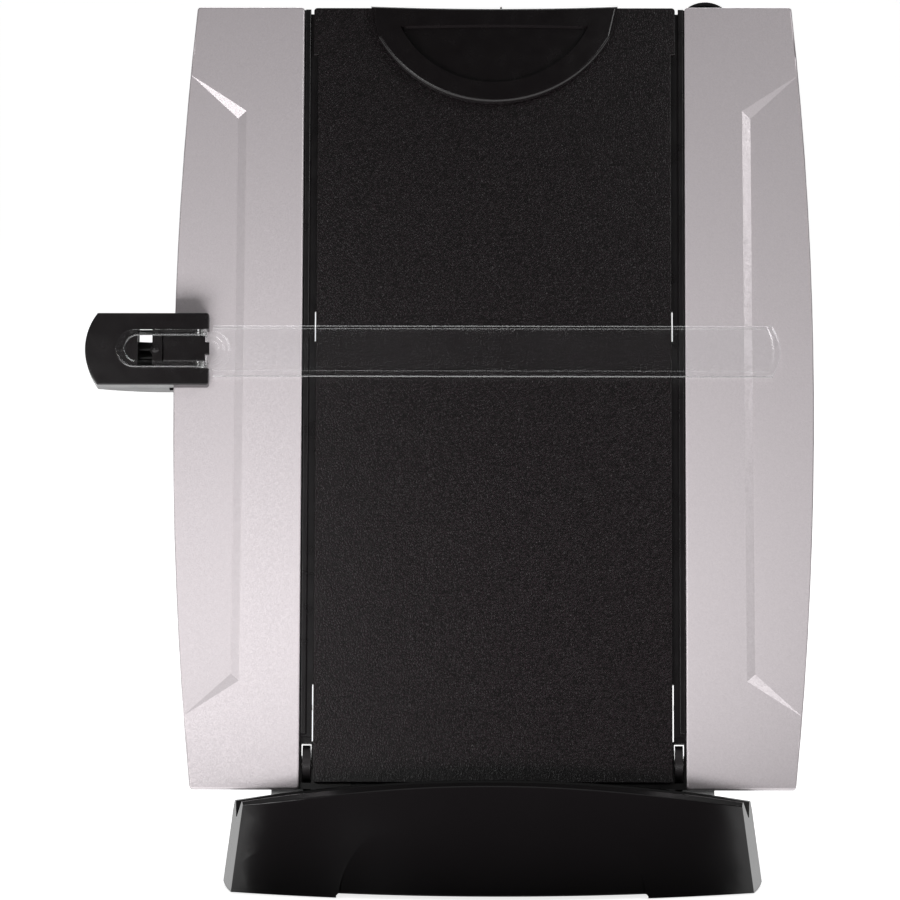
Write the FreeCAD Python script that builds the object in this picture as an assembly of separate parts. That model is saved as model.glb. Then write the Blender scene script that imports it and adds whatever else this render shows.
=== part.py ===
"""Desktop copy holder: a tilting board with a sliding line guide, on a weighted-look moulded foot.

The board group is drawn upright: x to the right, y to the back from the face that the pages lie on,
z up the board from its bottom edge. board_to_world() then leans it back about the hinge.
The foot is drawn in the world frame, with its origin at the middle of its footprint on the desk.
"""
import FreeCAD, Part
import math
import os

V = FreeCAD.Vector

# --- Board: driving dimensions (mm, degrees) ---
LEAN = 20.0                # board from the vertical, at rest
BOARD_LENGTH = 326.0
BOARD_WIDTH = 261.4        # across the bowed sides, half way up
BOARD_END_WIDTH = 244.8    # across the two ends
CORNER_ROUND = 1.4
PANEL_WIDTH = 145.4
CHANNEL_WIDTH = 5.6        # open channel between the panel and each wing
CHANNEL_SPAN = PANEL_WIDTH + 2 * CHANNEL_WIDTH
PANEL_THICKNESS = 2.2
DECK_THICKNESS = 1.6
DECK_INSET = 0.4           # the deck stands back from the wings' outline
WING_PROUD = 1.0           # wing face in front of the page face
WING_WALL = 1.6
WING_ROUND = 0.7

# --- Sunken facet of each wing ---
FACET_MARGIN = 23.6        # flat strip between the channel and the long bevel, at its upper end
FACET_INNER = CHANNEL_SPAN / 2 + FACET_MARGIN
FACET_SPREAD = 0.9         # the long bevel leans outwards by this much towards its lower end
FACET_BEVEL = 3.4
FACET_SINK = 1.2
FACET_LOW = 44.2           # inner corners of the facet, up the board
FACET_TOP_MARGIN = 44.1
FACET_HIGH = BOARD_LENGTH - FACET_TOP_MARGIN
FACET_CORNER = 3.0         # how far the sunken corners stand inside those
FACET_TIP_LOW = 29.5       # where the slanted bevels run out on the outer edge
FACET_TIP_TOP_MARGIN = 28.6
FACET_TIP_HIGH = BOARD_LENGTH - FACET_TIP_TOP_MARGIN
FACET_OVERCUT = 0.3

# --- Wing bosses and their screws ---
BOSS_TOP_MARGIN = 38.0
BOSS_HEIGHTS = (56.0, 156.0, BOARD_LENGTH - BOSS_TOP_MARGIN)
BOSS_INSET = 15.7          # from the wing's inner edge
BOSS_X = CHANNEL_SPAN / 2 + BOSS_INSET
BOSS_RADIUS = 2.6
BOSS_RIB = 7.0
SCREW_RADIUS = 1.1
SCREW_HEAD_RADIUS = 2.9
SCREW_HEAD_HEIGHT = 1.6
HEAD_BEVEL = 0.5           # on every screw, pin and spindle head
SCREW_PASS = 0.2           # radial, screw in a hole that it passes through
ROOTED = 0.5               # a boss, rib or web starts this deep in the wall that carries it
BEDDED = 0.3               # a ridge or rim starts this deep in the plate under it
SCREW_END_GAP = 0.2        # the shank ends this far before the bottom of its hole
BOSS_FIT = 0.15            # radial, a wing boss in the deck
SEAT_GAP = 0.1             # faces that bear on each other are drawn this far apart

# --- Centre panel ---
PANEL_EAR = 1.7            # the upper corners stand out by this much
PANEL_EAR_WIDTH = PANEL_WIDTH + 2 * PANEL_EAR
PANEL_EAR_HEIGHT = 20.0
PANEL_BOTTOM = 2.7
PANEL_SLOT_WIDTH = 2.4
PANEL_SLOT_SHOW = 0.5      # the slots show beside the panel by this much
SNAP_LENGTH = 8.0
SNAP_THICKNESS = 1.2
SNAP_BARB = 0.9
SNAP_TIP = 1.2             # the barb slopes back over this depth
SNAP_FIT = 0.15            # hook beside its slot
SNAP_FLEX = 0.5            # room for the barb to spring back
PANEL_EDGE_ROUND = 0.4
SNAP_SLOTS = ((185.4, 198.0), (19.9, 43.3))

# --- Rear frame ---
RAIL_WIDTH = 2.2           # raised rail in each channel, beside the wing
RAIL_MARGIN = 0.5
RAIL_OUTER = CHANNEL_SPAN / 2 - RAIL_MARGIN
RAIL_INNER = RAIL_OUTER - RAIL_WIDTH
RAIL_HEIGHT = 1.4
RAIL_ROUND = 0.4
RAIL_START = 1.0           # above the hinge window
NOTCH_DEPTH = 2.2
RIB_DEPTH = 7.0
RIB_WALL = 1.8
RIB_CORNER = 6.0           # outer radius of the rib frame
SCREW_WELL = 0.4           # radial room round a screw head
RIB_MARGIN = 10.0          # rib frame outside the wings' screws
RIB_BOX_HALF_WIDTH = BOSS_X + RIB_MARGIN
RIB_BOX_LOW = 34.0
RIB_TOP_MARGIN = 26.0
RIB_BOX_HIGH = BOARD_LENGTH - RIB_TOP_MARGIN
RIB_CROSS_COUNT = 5
GUIDE_RAIL_INSET = 10.7     # rail behind the deck that the slider runs on, from the board's edge
GUIDE_RAIL_WIDTH = 2.0
GUIDE_RAIL_HEIGHT = 2.2
GUIDE_RAIL_LOW = 18.0
GUIDE_RAIL_TOP_MARGIN = 21.0
GUIDE_RAIL_HIGH = BOARD_LENGTH - GUIDE_RAIL_TOP_MARGIN

# --- Board hinge ---
HINGE_UP = 11.7            # hinge axis above the board's bottom edge
HINGE_BACK = 7.0           # hinge axis behind the page face
HINGE_PIN_RADIUS = 2.0
EAR_MARGIN = 3.0           # ear's middle inside the wing
EAR_X = CHANNEL_SPAN / 2 - EAR_MARGIN
EAR_THICKNESS = 3.2
EAR_RADIUS = 7.2
EAR_FRONT = 1.5            # post's front face ahead of the hinge axis
EAR_WINDOW = (2.9, 21.8)
EAR_GAP = 0.4
HOOD_DEPTH = 3.0           # hood behind each window's upper end, over the ear
HOOD_RISE = 1.6            # the hood reaches this far above the window
KNUCKLE_RADIUS = 4.8
KNUCKLE_LENGTH = 5.0
WASHER_GAP = 1.7
WASHER_PLAY = 0.3          # left beside the washer, dished and at rest
WASHER_STEEL = 0.6
WASHER_FIT = 0.15          # radial, on its pin
TURNING_GAP = 0.3          # between an ear or lug and the boss beside it
PIN_HEAD_RADIUS = 3.2
PIN_HEAD_LENGTH = 1.3
PIN_TIP = 0.6              # the pins' ends stand out of the outer knuckles

# --- Top paper clip ---
CLIP_DROP = 0.3            # clip's upper corners below the board's top edge
CLIP_TOP = BOARD_LENGTH - CLIP_DROP
CLIP_LENGTH = 41.3
CLIP_SAG = 1.5             # the top edge's middle below its ends
CLIP_TOP_HALF = 50.8
CLIP_SIDE = 13.3           # height of the straight sides
CLIP_SHOULDER = CLIP_TOP - CLIP_SIDE
CLIP_SHOULDER_HALF = 47.8
CLIP_BOTTOM = CLIP_TOP - CLIP_LENGTH
CLIP_THICKNESS = 4.0
CLIP_BOW_RADIUS = 640.0    # of the plate's front, bowed across
CLIP_EDGE_ROUND = 1.3
CLIP_STAND = 2.4           # clip plate's back in front of the page face
CLIP_RIM = 2.6
CLIP_RIM_INSET = 0.6
CLIP_RIM_STAND = 1.0
CLIP_RIM_SIDE = 2.6        # the rim runs this far up the straight sides
CLIP_RIM_TOP = CLIP_SHOULDER + CLIP_RIM_SIDE
DISH_MARGIN = 8.6          # dish below the clip's top
DISH_LENGTH = 24.3
DISH_CHORD = CLIP_TOP - DISH_MARGIN
DISH_HALF = 39.4
DISH_BOTTOM = DISH_CHORD - DISH_LENGTH
DISH_DEPTH = 2.1           # at the chord
DISH_RUN_OUT = 0.5         # depth left at the bottom of its round side
DISH_DRAFT = 1.2           # its wall leans out by this much
CLIP_PIN_DROP = 6.0        # pin below the board's top edge
CLIP_PIN_UP = BOARD_LENGTH - CLIP_PIN_DROP
CLIP_PIN_BACK = 2.2
CLIP_PIN_RADIUS = 1.2
CLIP_LUG_X = 31.5
CLIP_LUG_WIDTH = 3.0
CLIP_LUG_RADIUS = 2.5
CLIP_BOSS_WIDTH = 3.4
CLIP_BOSS_HALF = 3.4       # half height
CLIP_BOSS_WALL = 1.6       # behind the deck
CLIP_BOSS_START = CLIP_LUG_X + CLIP_LUG_WIDTH / 2 + TURNING_GAP
CLIP_BOSS_ROOT = 5.0       # its foot runs down the deck below the notch
CLIP_CORNER = 2.0
CLIP_NOTCH_HALF = 39.4
CLIP_NOTCH_DEPTH = 11.5
CLIP_NOTCH_LOW = BOARD_LENGTH - CLIP_NOTCH_DEPTH
PAD_WIDTH = 1.8
PAD_INSET = 1.0
PAD_GAP = 0.3
PAD_REACH = 0.8            # share of the clip's half width
SPRING_WIRE = 0.4          # radius
SPRING_WIRE_FLATS = 8
SPRING_RADIUS = 1.9       # of the wire's centre line
SPRING_TURNS = 3
SPRING_PITCH = 1.3
SPRING_DECK_LEG = 3.0      # degrees round the pin at which each leg leaves the coil
SPRING_CLIP_LEG = 49.0
SPRING_DECK_REACH = 9.5
SPRING_CLIP_REACH = 6.8

# --- Knob behind the right wing's top corner ---
KNOB_MARGIN = 8.7          # its axis outside the wing's inner edge
KNOB_TOP_MARGIN = 8.5
KNOB_X = CHANNEL_SPAN / 2 + KNOB_MARGIN
KNOB_UP = BOARD_LENGTH - KNOB_TOP_MARGIN
KNOB_RADIUS = 12.4
KNOB_LENGTH = 6.6
KNOB_GAP = 0.4
KNOB_RIM = 1.3
KNOB_HOLLOW = 2.6
KNOB_HUB_RADIUS = 4.2
KNOB_END_ROUND = 0.8
KNOB_SKIRT = 0.8           # plain band between the hollow and the flutes
KNOB_FLUTES = 18
FLUTE_OUT = 0.15           # share of its side by which the flute's middle stands outside the grip
KNOB_FLUTE = 1.9           # side of the square that cuts each V flute
SPINDLE_RADIUS = 2.0
SPINDLE_BOSS_RADIUS = 4.5
SPINDLE_BOSS_LENGTH = 1.2
KNOB_WASHER_THICKNESS = 0.9
KNOB_WASHER_STEEL = 0.4
SPINDLE_HEAD_RADIUS = 3.4
SPINDLE_HEAD_LENGTH = 1.5

# --- Slider on the board's left edge ---
EDGE = -BOARD_WIDTH / 2    # where the bowed edge lies half way up
GUIDE_RAIL_X = EDGE + GUIDE_RAIL_INSET
SLIDER_UP = 180.3
SLIDER_HEIGHT = 30.0
SLIDER_OVERLAP = 14.6      # over the wing
SLIDER_OVERHANG = 30.9     # beyond the board, to the corners of the rounded end
SLIDER_NOSE = 5.1
SLIDER_RIGHT = EDGE + SLIDER_OVERLAP
SLIDER_CORNER = EDGE - SLIDER_OVERHANG
SLIDER_APEX = SLIDER_CORNER - SLIDER_NOSE
SLIDER_THICKNESS = 6.0
SLIDER_GAP = 0.3           # running gap to the wing and the deck
SLIDER_WALL = 2.0
SLIDER_ROUND = 0.6
SLIDER_CORNER_ROUND = 1.2
THROAT_GAP = 1.7
THROAT_X = EDGE - THROAT_GAP    # inner end of the slot that takes the board's edge
JAW_LIP = 1.3              # the jaw reaches further over the board than the plate
JAW_RIGHT = SLIDER_RIGHT + JAW_LIP
JAW_DEPTH = 4.0
JAW_WALL = 2.0
JAW_BULGE = 22.3           # a point of the jaw's bulged back, beyond the board
JAW_BULGE_X = EDGE - JAW_BULGE
JAW_BULGE_BACK = 5.0
JAW_END = 0.6              # its thickness at the rounded end
JAW_BEVEL = (2.0, 1.0)     # on the tongue's rear corner, across and deep
JAW_STRAIGHT = 4.0         # the back stays straight this far beyond the slot
WINDOW_START = 8.5
WINDOW_END = 14.4
WINDOW_X = (EDGE - WINDOW_END, EDGE - WINDOW_START)
WINDOW_HALF = 7.7
JAW_WINDOW = (5.4, 9.2)    # its height in the jaw behind the plate's window
JAW_WEB_HEIGHTS = (0.9, -2.6)   # webs seen in the window below it
JAW_WEB = 0.8
TONGUE_HALF = 5.2
TONGUE_RISE = 0.6
TONGUE_INSET = 1.5
TONGUE_END = SLIDER_RIGHT - TONGUE_INSET
TONGUE_TIP = 1.7           # narrow catch beyond the tongue's end
TONGUE_TIP_HALF = 2.6
TONGUE_BRIDGE = 0.9        # thickness where the tongue covers the guide's barrel
TONGUE_BEVEL = 0.3
TAB_SLOT = 0.5
TAB_SLOT_START = 4.0
TAB_SLOT_X = EDGE - TAB_SLOT_START
TAB_BUMP = 3.3             # a round bump to the left of the slot
TAB_BUMP_X = TAB_SLOT_X - TAB_BUMP
TAB_BUMP_RADIUS = 2.4
TAB_BUMP_RISE = 0.8
SLIDER_SCREW_OUT = 19.9
SLIDER_SCREW_X = EDGE - SLIDER_SCREW_OUT
SLIDER_SCREW_UP = 11.0
SLIDER_HEAD_RADIUS = 2.4
SLIDER_HEAD_HEIGHT = 1.4
SLIDER_HEAD_GAP = 0.2
SLIDER_SEAT = 4.6          # the heads bear this deep in the jaw
SLIDER_PILLAR_RADIUS = 3.4
LEAF_THICKNESS = 0.4
LEAF_LENGTH = 8.0
LEAF_WIDTH = 14.0
LEAF_INSET = 3.7
LEAF_POCKET = 2.0          # depth of the leaf's pocket in the jaw
LEAF_GAP = 0.2             # round the leaf in its pocket
LEAF_X = EDGE + LEAF_INSET

# --- Hinge pin that carries the line guide and the memo clip ---
GUIDE_PIN_INSET = 2.9
GUIDE_PIN_X = SLIDER_RIGHT - GUIDE_PIN_INSET
GUIDE_PIN_FRONT = 4.6
GUIDE_PIN_RADIUS = 1.0
GUIDE_PIN_HALF = 11.3
NOTCH_X = GUIDE_PIN_X - GUIDE_PIN_INSET
NOTCH_HALF = 8.2
BARREL_RADIUS = 2.1
BARREL_HALF = 5.1
LUG_RADIUS = 2.2
LUG_INNER = 5.5
RUNNING_FIT = 0.05         # radial, shaft in hole
PRESS_GAP = 0.02           # radial, pin in a hole that holds it

# --- Line guide ---
GUIDE_HEIGHT = 20.9
GUIDE_START = 1.4          # full height from here, to the right of the slider
GUIDE_ROOT_INSET = 0.2
GUIDE_LEFT = SLIDER_RIGHT + GUIDE_START
GUIDE_ROOT_X = SLIDER_RIGHT - GUIDE_ROOT_INSET
GUIDE_END_MARGIN = 13.5
GUIDE_APEX = -EDGE - GUIDE_END_MARGIN
GUIDE_END_RADIUS = 17.7
GUIDE_THICKNESS = 1.5
GUIDE_GAP = 0.5            # guide's back in front of the wings' face
GUIDE_TOP_RIDGE = 1.2      # width of the ridge along the upper side
GUIDE_LOW_RIDGE = 2.1
GUIDE_RIDGE_RISE = 0.9
GUIDE_BEAD = 3.4           # width of the raised bead round the far end
GUIDE_BEAD_RISE = 1.3
GUIDE_BEAD_BEVEL = 0.5
RING_RADII = (8.5, 6.3, 4.3)   # middle lines of the round beads on the root
RING_BEAD = 0.55           # radius of each bead
ROOT_PLAY = 0.6            # the root in the slider's notch, above and below

# --- Memo clip ---
MEMO_LENGTH = 27.25        # from the pin to the middle of the rounded end
MEMO_CENTRE_X = GUIDE_PIN_X - MEMO_LENGTH
MEMO_RADIUS = 7.75
MEMO_END_EXTRA = 1.3       # the loop is thicker at its end
MEMO_INNER_X = MEMO_CENTRE_X + MEMO_END_EXTRA
MEMO_INNER_RADIUS = 5.45
MEMO_THICKNESS = 1.8
MEMO_GAP = 0.3
MEMO_ROOT = 2.1
MEMO_RIGHT = GUIDE_PIN_X + MEMO_ROOT
MEMO_ROUND = 0.5
MEMO_TAPER = 0.1           # the legs' inner sides open by this much towards the pin

# --- Foot: driving dimensions ---
BASE_FRONT = -65.0         # front of the foot at the desk, on the centre line
BASE_REAR = 65.0
BASE_HALF_WIDTH = 109.0
BASE_TOP_HALF_WIDTH = 102.6
BASE_TOP = 46.0            # height at which the upper outline is drawn
BASE_FACE_HALF = 105.2     # half width of the front face at the desk
BASE_FACE_TOP_HALF = 98.8
BASE_FACE_END = -48.4      # front face's ends at the desk
BASE_FACE_TOP = -47.2      # front face's middle at the top
BASE_FACE_TOP_END = -46.3
BASE_FACET = 14.0          # depth of the slanted end facets
BASE_REAR_ROUND = 20.0
BASE_REAR_LEAN = 2.0
BASE_WALL = 2.4
BASE_LIFT = 0.4            # skirt above the desk
BASE_BOTTOM_ROUND = 3.0
FACE_EDGE_ROUND = 0.8      # round the front face
REAR_EDGE_ROUND = 2.5
ARCH_RADIUS = 640.0        # arch of the lip, the V ledge and the ridge
CREST_HEIGHT = 43.6        # ridge at the centre line
CREST_Y = -44.3            # back of the lip's crest
LIP_RISE = 1.0             # the lip's crest stands above the ridge
LIP_FLAT = 1.0
LIP_REACH = 4.7            # depth over which the lip slopes down to the front
LIP_DROP = 1.4             # its fall over that depth at the centre line
LIP_FRONT_RADIUS = 515.0   # arch at the slope's front, tighter than the crest's
LEDGE_WIDTH = 9.0
LEDGE_DEPTH = 5.6
LEDGE_FLAT = 0.6           # half width of the groove's bottom
RIDGE_WIDTH = 1.0
BOARD_SET_BACK = 5.0       # page face behind the ledge, at the board's bottom edge
RIDGE_FOOT = 2.4
DECK_HEIGHT = 20.0
DECK_LEVEL_END = 5.0
DECK_REAR_HEIGHT = 12.0
RECESS_HALF = 61.4
RECESS_CORNER = 29.4       # radius of the recess's upper corners
RECESS_FADE = 25.0
RECESS_DEPTH = 1.4
RELIEF_HALF = 62.5
RELIEF_SLOPE = 1.1
RELIEF_HEIGHT = 2.3
RELIEF_DEPTH = 30.0

# --- Under the foot ---
FOOT_PADS = ((-88.0, -34.0), (88.0, -34.0), (-84.0, 45.0), (84.0, 45.0), (0.0, 0.0))
FOOT_PAD_RADIUS = 8.0
FOOT_PAD_THICKNESS = 2.0
PLATE_UP = 1.5
PLATE_THICKNESS = 2.0
PLATE_GAP = 0.3
BASE_SCREWS = ((-70.0, -30.0), (70.0, -30.0), (-70.0, 40.0), (70.0, 40.0))
BASE_BOSS_RADIUS = 3.6

# --- Hinge saddle on the foot ---
SADDLE_OVERHANG = 11.7     # outside the channels
SADDLE_HALF_WIDTH = CHANNEL_SPAN / 2 + SADDLE_OVERHANG
SADDLE_FRONT = -31.4
SADDLE_FRONT_HEIGHT = 29.0
SADDLE_RADIUS = 15.2       # hollow that the board's bottom edge swings in
SADDLE_START = -112.0       # degrees round the hinge axis from level behind it
SADDLE_END = -10.0
SADDLE_CORE_END = -35.0
SADDLE_WALL = 2.4
SADDLE_BACK_WIDTH = 3.2
SADDLE_BACK_FOOT = 5.5
SADDLE_CELLS = 6
SADDLE_SCREW_X = SADDLE_HALF_WIDTH / 2
SADDLE_SCREW_BITE = 8.0
SADDLE_SCREWS_Y = (-14.0,)

# --- Worked out from the sizes above ---
BOARD_MIDDLE = BOARD_LENGTH / 2
DECK_BACK = PANEL_THICKNESS + DECK_THICKNESS
RIB_BACK = DECK_BACK + RIB_DEPTH
BOARD_FRONT_Y = CREST_Y + LEDGE_WIDTH + BOARD_SET_BACK
BOARD_BOTTOM_Z = 39.0
PLATE_BACK = -(WING_PROUD + SLIDER_GAP)
PLATE_FRONT = PLATE_BACK - SLIDER_THICKNESS
JAW_FRONT = DECK_BACK + SLIDER_GAP
JAW_BACK = JAW_FRONT + JAW_DEPTH


# --- Drawing helpers ---
def facing(x, z):
    return V(x, 0, z)


def sideways(y, z):
    return V(0, y, z)


def plan(x, y):
    return V(x, y, 0)


def outline(place, start, *steps):
    """Closed wire. A step is a corner, or (through, end) for an arc."""
    edges = []
    here = start
    for step in steps + (start,):
        if isinstance(step[0], tuple):
            through, end = step
            edges.append(Part.Arc(place(*here), place(*through), place(*end)).toShape())
            here = end
        elif place(*here).distanceToPoint(place(*step)) > 1e-6:
            edges.append(Part.makeLine(place(*here), place(*step)))
            here = step
    return Part.Wire(edges)


def extruded(wire, direction, start, end):
    body = Part.Face(wire).extrude(direction * (end - start))
    return body.translated(direction * start)


def slab(wire, front, back):
    """Outline drawn facing the page, between two depths."""
    return extruded(wire, V(0, 1, 0), front, back)


def bar(wire, left, right):
    """Outline drawn from the side, between two places across."""
    return extruded(wire, V(1, 0, 0), left, right)


def box(x0, x1, y0, y1, z0, z1):
    return Part.makeBox(x1 - x0, y1 - y0, z1 - z0, V(x0, y0, z0))


def rod_x(radius, left, right, y, z):
    return Part.makeCylinder(radius, right - left, V(left, y, z), V(1, 0, 0))


def rod_y(radius, front, back, x, z):
    return Part.makeCylinder(radius, back - front, V(x, front, z), V(0, 1, 0))


def rod_z(radius, low, high, x, y):
    return Part.makeCylinder(radius, high - low, V(x, y, low), V(0, 0, 1))


def joined(shapes):
    shapes = list(shapes)
    return shapes[0].multiFuse(shapes[1:]).removeSplitter() if len(shapes) > 1 else shapes[0]


def mirrored(shape):
    return shape.mirror(V(0, 0, 0), V(1, 0, 0))


def both_sides(shape):
    return [shape, mirrored(shape)]


def rounded(solid, radius, wanted):
    return solid.makeFillet(radius, [edge for edge in solid.Edges if wanted(edge)])


def bevelled(solid, width, wanted):
    return solid.makeChamfer(width, [edge for edge in solid.Edges if wanted(edge)])


def flat_at(edge, axis, value):
    """True where an edge lies in the plane axis = value."""
    box_ = edge.BoundBox
    low, high = {"x": (box_.XMin, box_.XMax), "y": (box_.YMin, box_.YMax), "z": (box_.ZMin, box_.ZMax)}[axis]
    return abs(low - value) < 1e-4 and abs(high - value) < 1e-4


def along(edge, axis):
    """True for a straight edge along one axis."""
    if edge.Curve.TypeId != "Part::GeomLine":
        return False
    step = edge.Vertexes[-1].Point - edge.Vertexes[0].Point
    return abs(abs(step.dot(axis)) - step.Length) < 1e-6


def board_to_world(shape):
    leaned = shape.rotated(V(0, 0, 0), V(1, 0, 0), -LEAN)
    return leaned.translated(V(0, BOARD_FRONT_Y, BOARD_BOTTOM_Z))


def hinge_in_world():
    lean = math.radians(LEAN)
    y = BOARD_FRONT_Y + HINGE_BACK * math.cos(lean) + HINGE_UP * math.sin(lean)
    z = BOARD_BOTTOM_Z - HINGE_BACK * math.sin(lean) + HINGE_UP * math.cos(lean)
    return y, z


# --- Board ---
def edge_arc(inset=0.0):
    """Bowed side of the board: (through, end) going up, inset from the outline."""
    end = BOARD_END_WIDTH / 2 - inset
    return (BOARD_WIDTH / 2 - inset, BOARD_MIDDLE), (end, BOARD_LENGTH - inset)


def edge_x(up, grow=0.0):
    """Half width of the board at a height, from the arc of its bowed side."""
    bow = (BOARD_WIDTH - BOARD_END_WIDTH) / 2
    radius = (BOARD_MIDDLE ** 2 + bow ** 2) / (2 * bow)
    return BOARD_WIDTH / 2 - radius + math.sqrt(radius ** 2 - (up - BOARD_MIDDLE) ** 2) + grow


def facet_x(up):
    """Inner line of the wing's facet, which leans outwards towards the bottom."""
    return FACET_INNER + FACET_SPREAD * (FACET_HIGH - up) / (FACET_HIGH - FACET_LOW)


def facet_tool():
    """Wedge that sinks the wing's facet: deep at its long bevel, nothing at the outer edge."""
    front = -WING_PROUD
    deep = front + FACET_SINK
    top = FACET_HIGH - FACET_CORNER
    low = FACET_LOW + FACET_CORNER
    top_out = V(facet_x(FACET_HIGH), front, FACET_HIGH)
    low_out = V(facet_x(FACET_LOW), front, FACET_LOW)
    top_in = V(facet_x(top) + FACET_BEVEL, deep, top)
    low_in = V(facet_x(low) + FACET_BEVEL, deep, low)
    tip_top = V(edge_x(FACET_TIP_HIGH, FACET_OVERCUT), front, FACET_TIP_HIGH)
    tip_low = V(edge_x(FACET_TIP_LOW, FACET_OVERCUT), front, FACET_TIP_LOW)
    middle = V(edge_x(BOARD_MIDDLE, FACET_OVERCUT), front, BOARD_MIDDLE)
    bow = Part.Arc(tip_low, middle, tip_top).toShape()
    bevel = Part.makeLine(low_in, top_in)

    def face(*points):
        return Part.Face(Part.makePolygon(list(points) + [points[0]]))

    straight = [Part.makeLine(tip_top, top_out), Part.makeLine(top_out, low_out)]
    cap = Part.Face(Part.Wire([Part.makeLine(low_out, tip_low), bow] + straight))
    faces = [
        cap,
        Part.makeRuledSurface(bevel, bow),
        face(low_out, low_in, top_in, top_out),
        face(top_out, top_in, tip_top),
        face(low_out, tip_low, low_in),
    ]
    shell = Part.makeShell(faces)
    shell.sewShape()
    tool = Part.makeSolid(shell)
    if tool.Volume < 0:
        tool.reverse()
    return tool


def wing_cells():
    """Heights of the hollow cells between the boss ribs."""
    levels = [WING_WALL] + [up + side * BOSS_RIB / 2 for up in BOSS_HEIGHTS for side in (-1, 1)]
    levels.append(BOARD_LENGTH - WING_WALL)
    return zip(levels[0::2], levels[1::2])


def wing():
    """Right wing: a thin silver shell whose outer field sinks in a long tapering facet."""
    inner = CHANNEL_SPAN / 2
    end = BOARD_END_WIDTH / 2
    shape = outline(facing, (inner, 0), (end, 0), edge_arc(), (inner, BOARD_LENGTH))
    blank = slab(shape, -WING_PROUD, PANEL_THICKNESS)
    blank = rounded(blank, CORNER_ROUND, lambda edge: along(edge, V(0, 1, 0)))
    blank = rounded(blank, WING_ROUND, lambda edge: flat_at(edge, "y", -WING_PROUD))
    shell = blank.cut(facet_tool())
    back = PANEL_THICKNESS
    for low, high in wing_cells():
        cell = box(inner + WING_WALL, FACET_INNER - WING_WALL, WING_WALL - WING_PROUD, back, low, high)
        shell = shell.cut(cell)
    for up in BOSS_HEIGHTS:
        shell = shell.fuse(rod_y(BOSS_RADIUS, back - ROOTED, DECK_BACK, BOSS_X, up))
        shell = shell.cut(rod_y(SCREW_RADIUS + PRESS_GAP, WING_WALL - WING_PROUD, DECK_BACK, BOSS_X, up))
    return shell.removeSplitter()


def wing_screws():
    """Pan-head screws that hold both wings from behind the deck."""
    screws = []
    for up in BOSS_HEIGHTS:
        head = rod_y(SCREW_HEAD_RADIUS, DECK_BACK, DECK_BACK + SCREW_HEAD_HEIGHT, BOSS_X, up)
        head = bevelled(head, HEAD_BEVEL, lambda edge: flat_at(edge, "y", DECK_BACK + SCREW_HEAD_HEIGHT))
        shank = rod_y(SCREW_RADIUS, WING_WALL - WING_PROUD + SCREW_END_GAP, DECK_BACK, BOSS_X, up)
        screws += both_sides(head.fuse(shank))
    return screws


def panel_notch(front, back):
    """Open notch at the top centre in which the paper clip swings."""
    return box(-CLIP_NOTCH_HALF, CLIP_NOTCH_HALF, front, back, CLIP_NOTCH_LOW, BOARD_LENGTH + 1)


def snap_slot_x():
    """Inner and outer side of the slots that take the panel's snap hooks."""
    outer = PANEL_WIDTH / 2 + PANEL_SLOT_SHOW
    return outer - PANEL_SLOT_WIDTH, outer


def snap_hook(low, high):
    """Hook behind the panel's right edge, with its barb turned inwards behind the deck."""
    middle = (low + high) / 2
    slot_inner, _ = snap_slot_x()
    inner = slot_inner + SNAP_FIT
    back = DECK_BACK + SEAT_GAP
    tip = back + SNAP_TIP
    profile = outline(
        plan,
        (inner, PANEL_THICKNESS - BEDDED),
        (inner, back),
        (inner - SNAP_BARB, back),
        (inner, tip),
        (inner + SNAP_THICKNESS, tip),
        (inner + SNAP_THICKNESS, PANEL_THICKNESS - BEDDED),
    )
    return extruded(profile, V(0, 0, 1), middle - SNAP_LENGTH / 2, middle + SNAP_LENGTH / 2)


def centre_panel():
    """Grained plate that the pages lie on, snapped into the frame between the channels."""
    half = PANEL_WIDTH / 2
    ear = PANEL_EAR_WIDTH / 2
    shoulder = BOARD_LENGTH - PANEL_EAR_HEIGHT
    shape = outline(
        facing,
        (-half, PANEL_BOTTOM),
        (half, PANEL_BOTTOM),
        (half, shoulder),
        (ear, shoulder),
        (ear, BOARD_LENGTH),
        (-ear, BOARD_LENGTH),
        (-ear, shoulder),
        (-half, shoulder),
    )
    plate = slab(shape, 0, PANEL_THICKNESS)
    plate = rounded(plate, CORNER_ROUND, lambda edge: along(edge, V(0, 1, 0)) and abs(
        edge.Vertexes[0].Point.z - shoulder) > 1)
    plate = rounded(plate, PANEL_EDGE_ROUND, lambda edge: flat_at(edge, "y", 0))
    plate = plate.cut(panel_notch(-1, PANEL_THICKNESS + 1))
    hooks = [hook for span in SNAP_SLOTS for hook in both_sides(snap_hook(*span))]
    return plate.multiFuse(hooks).removeSplitter()


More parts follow.
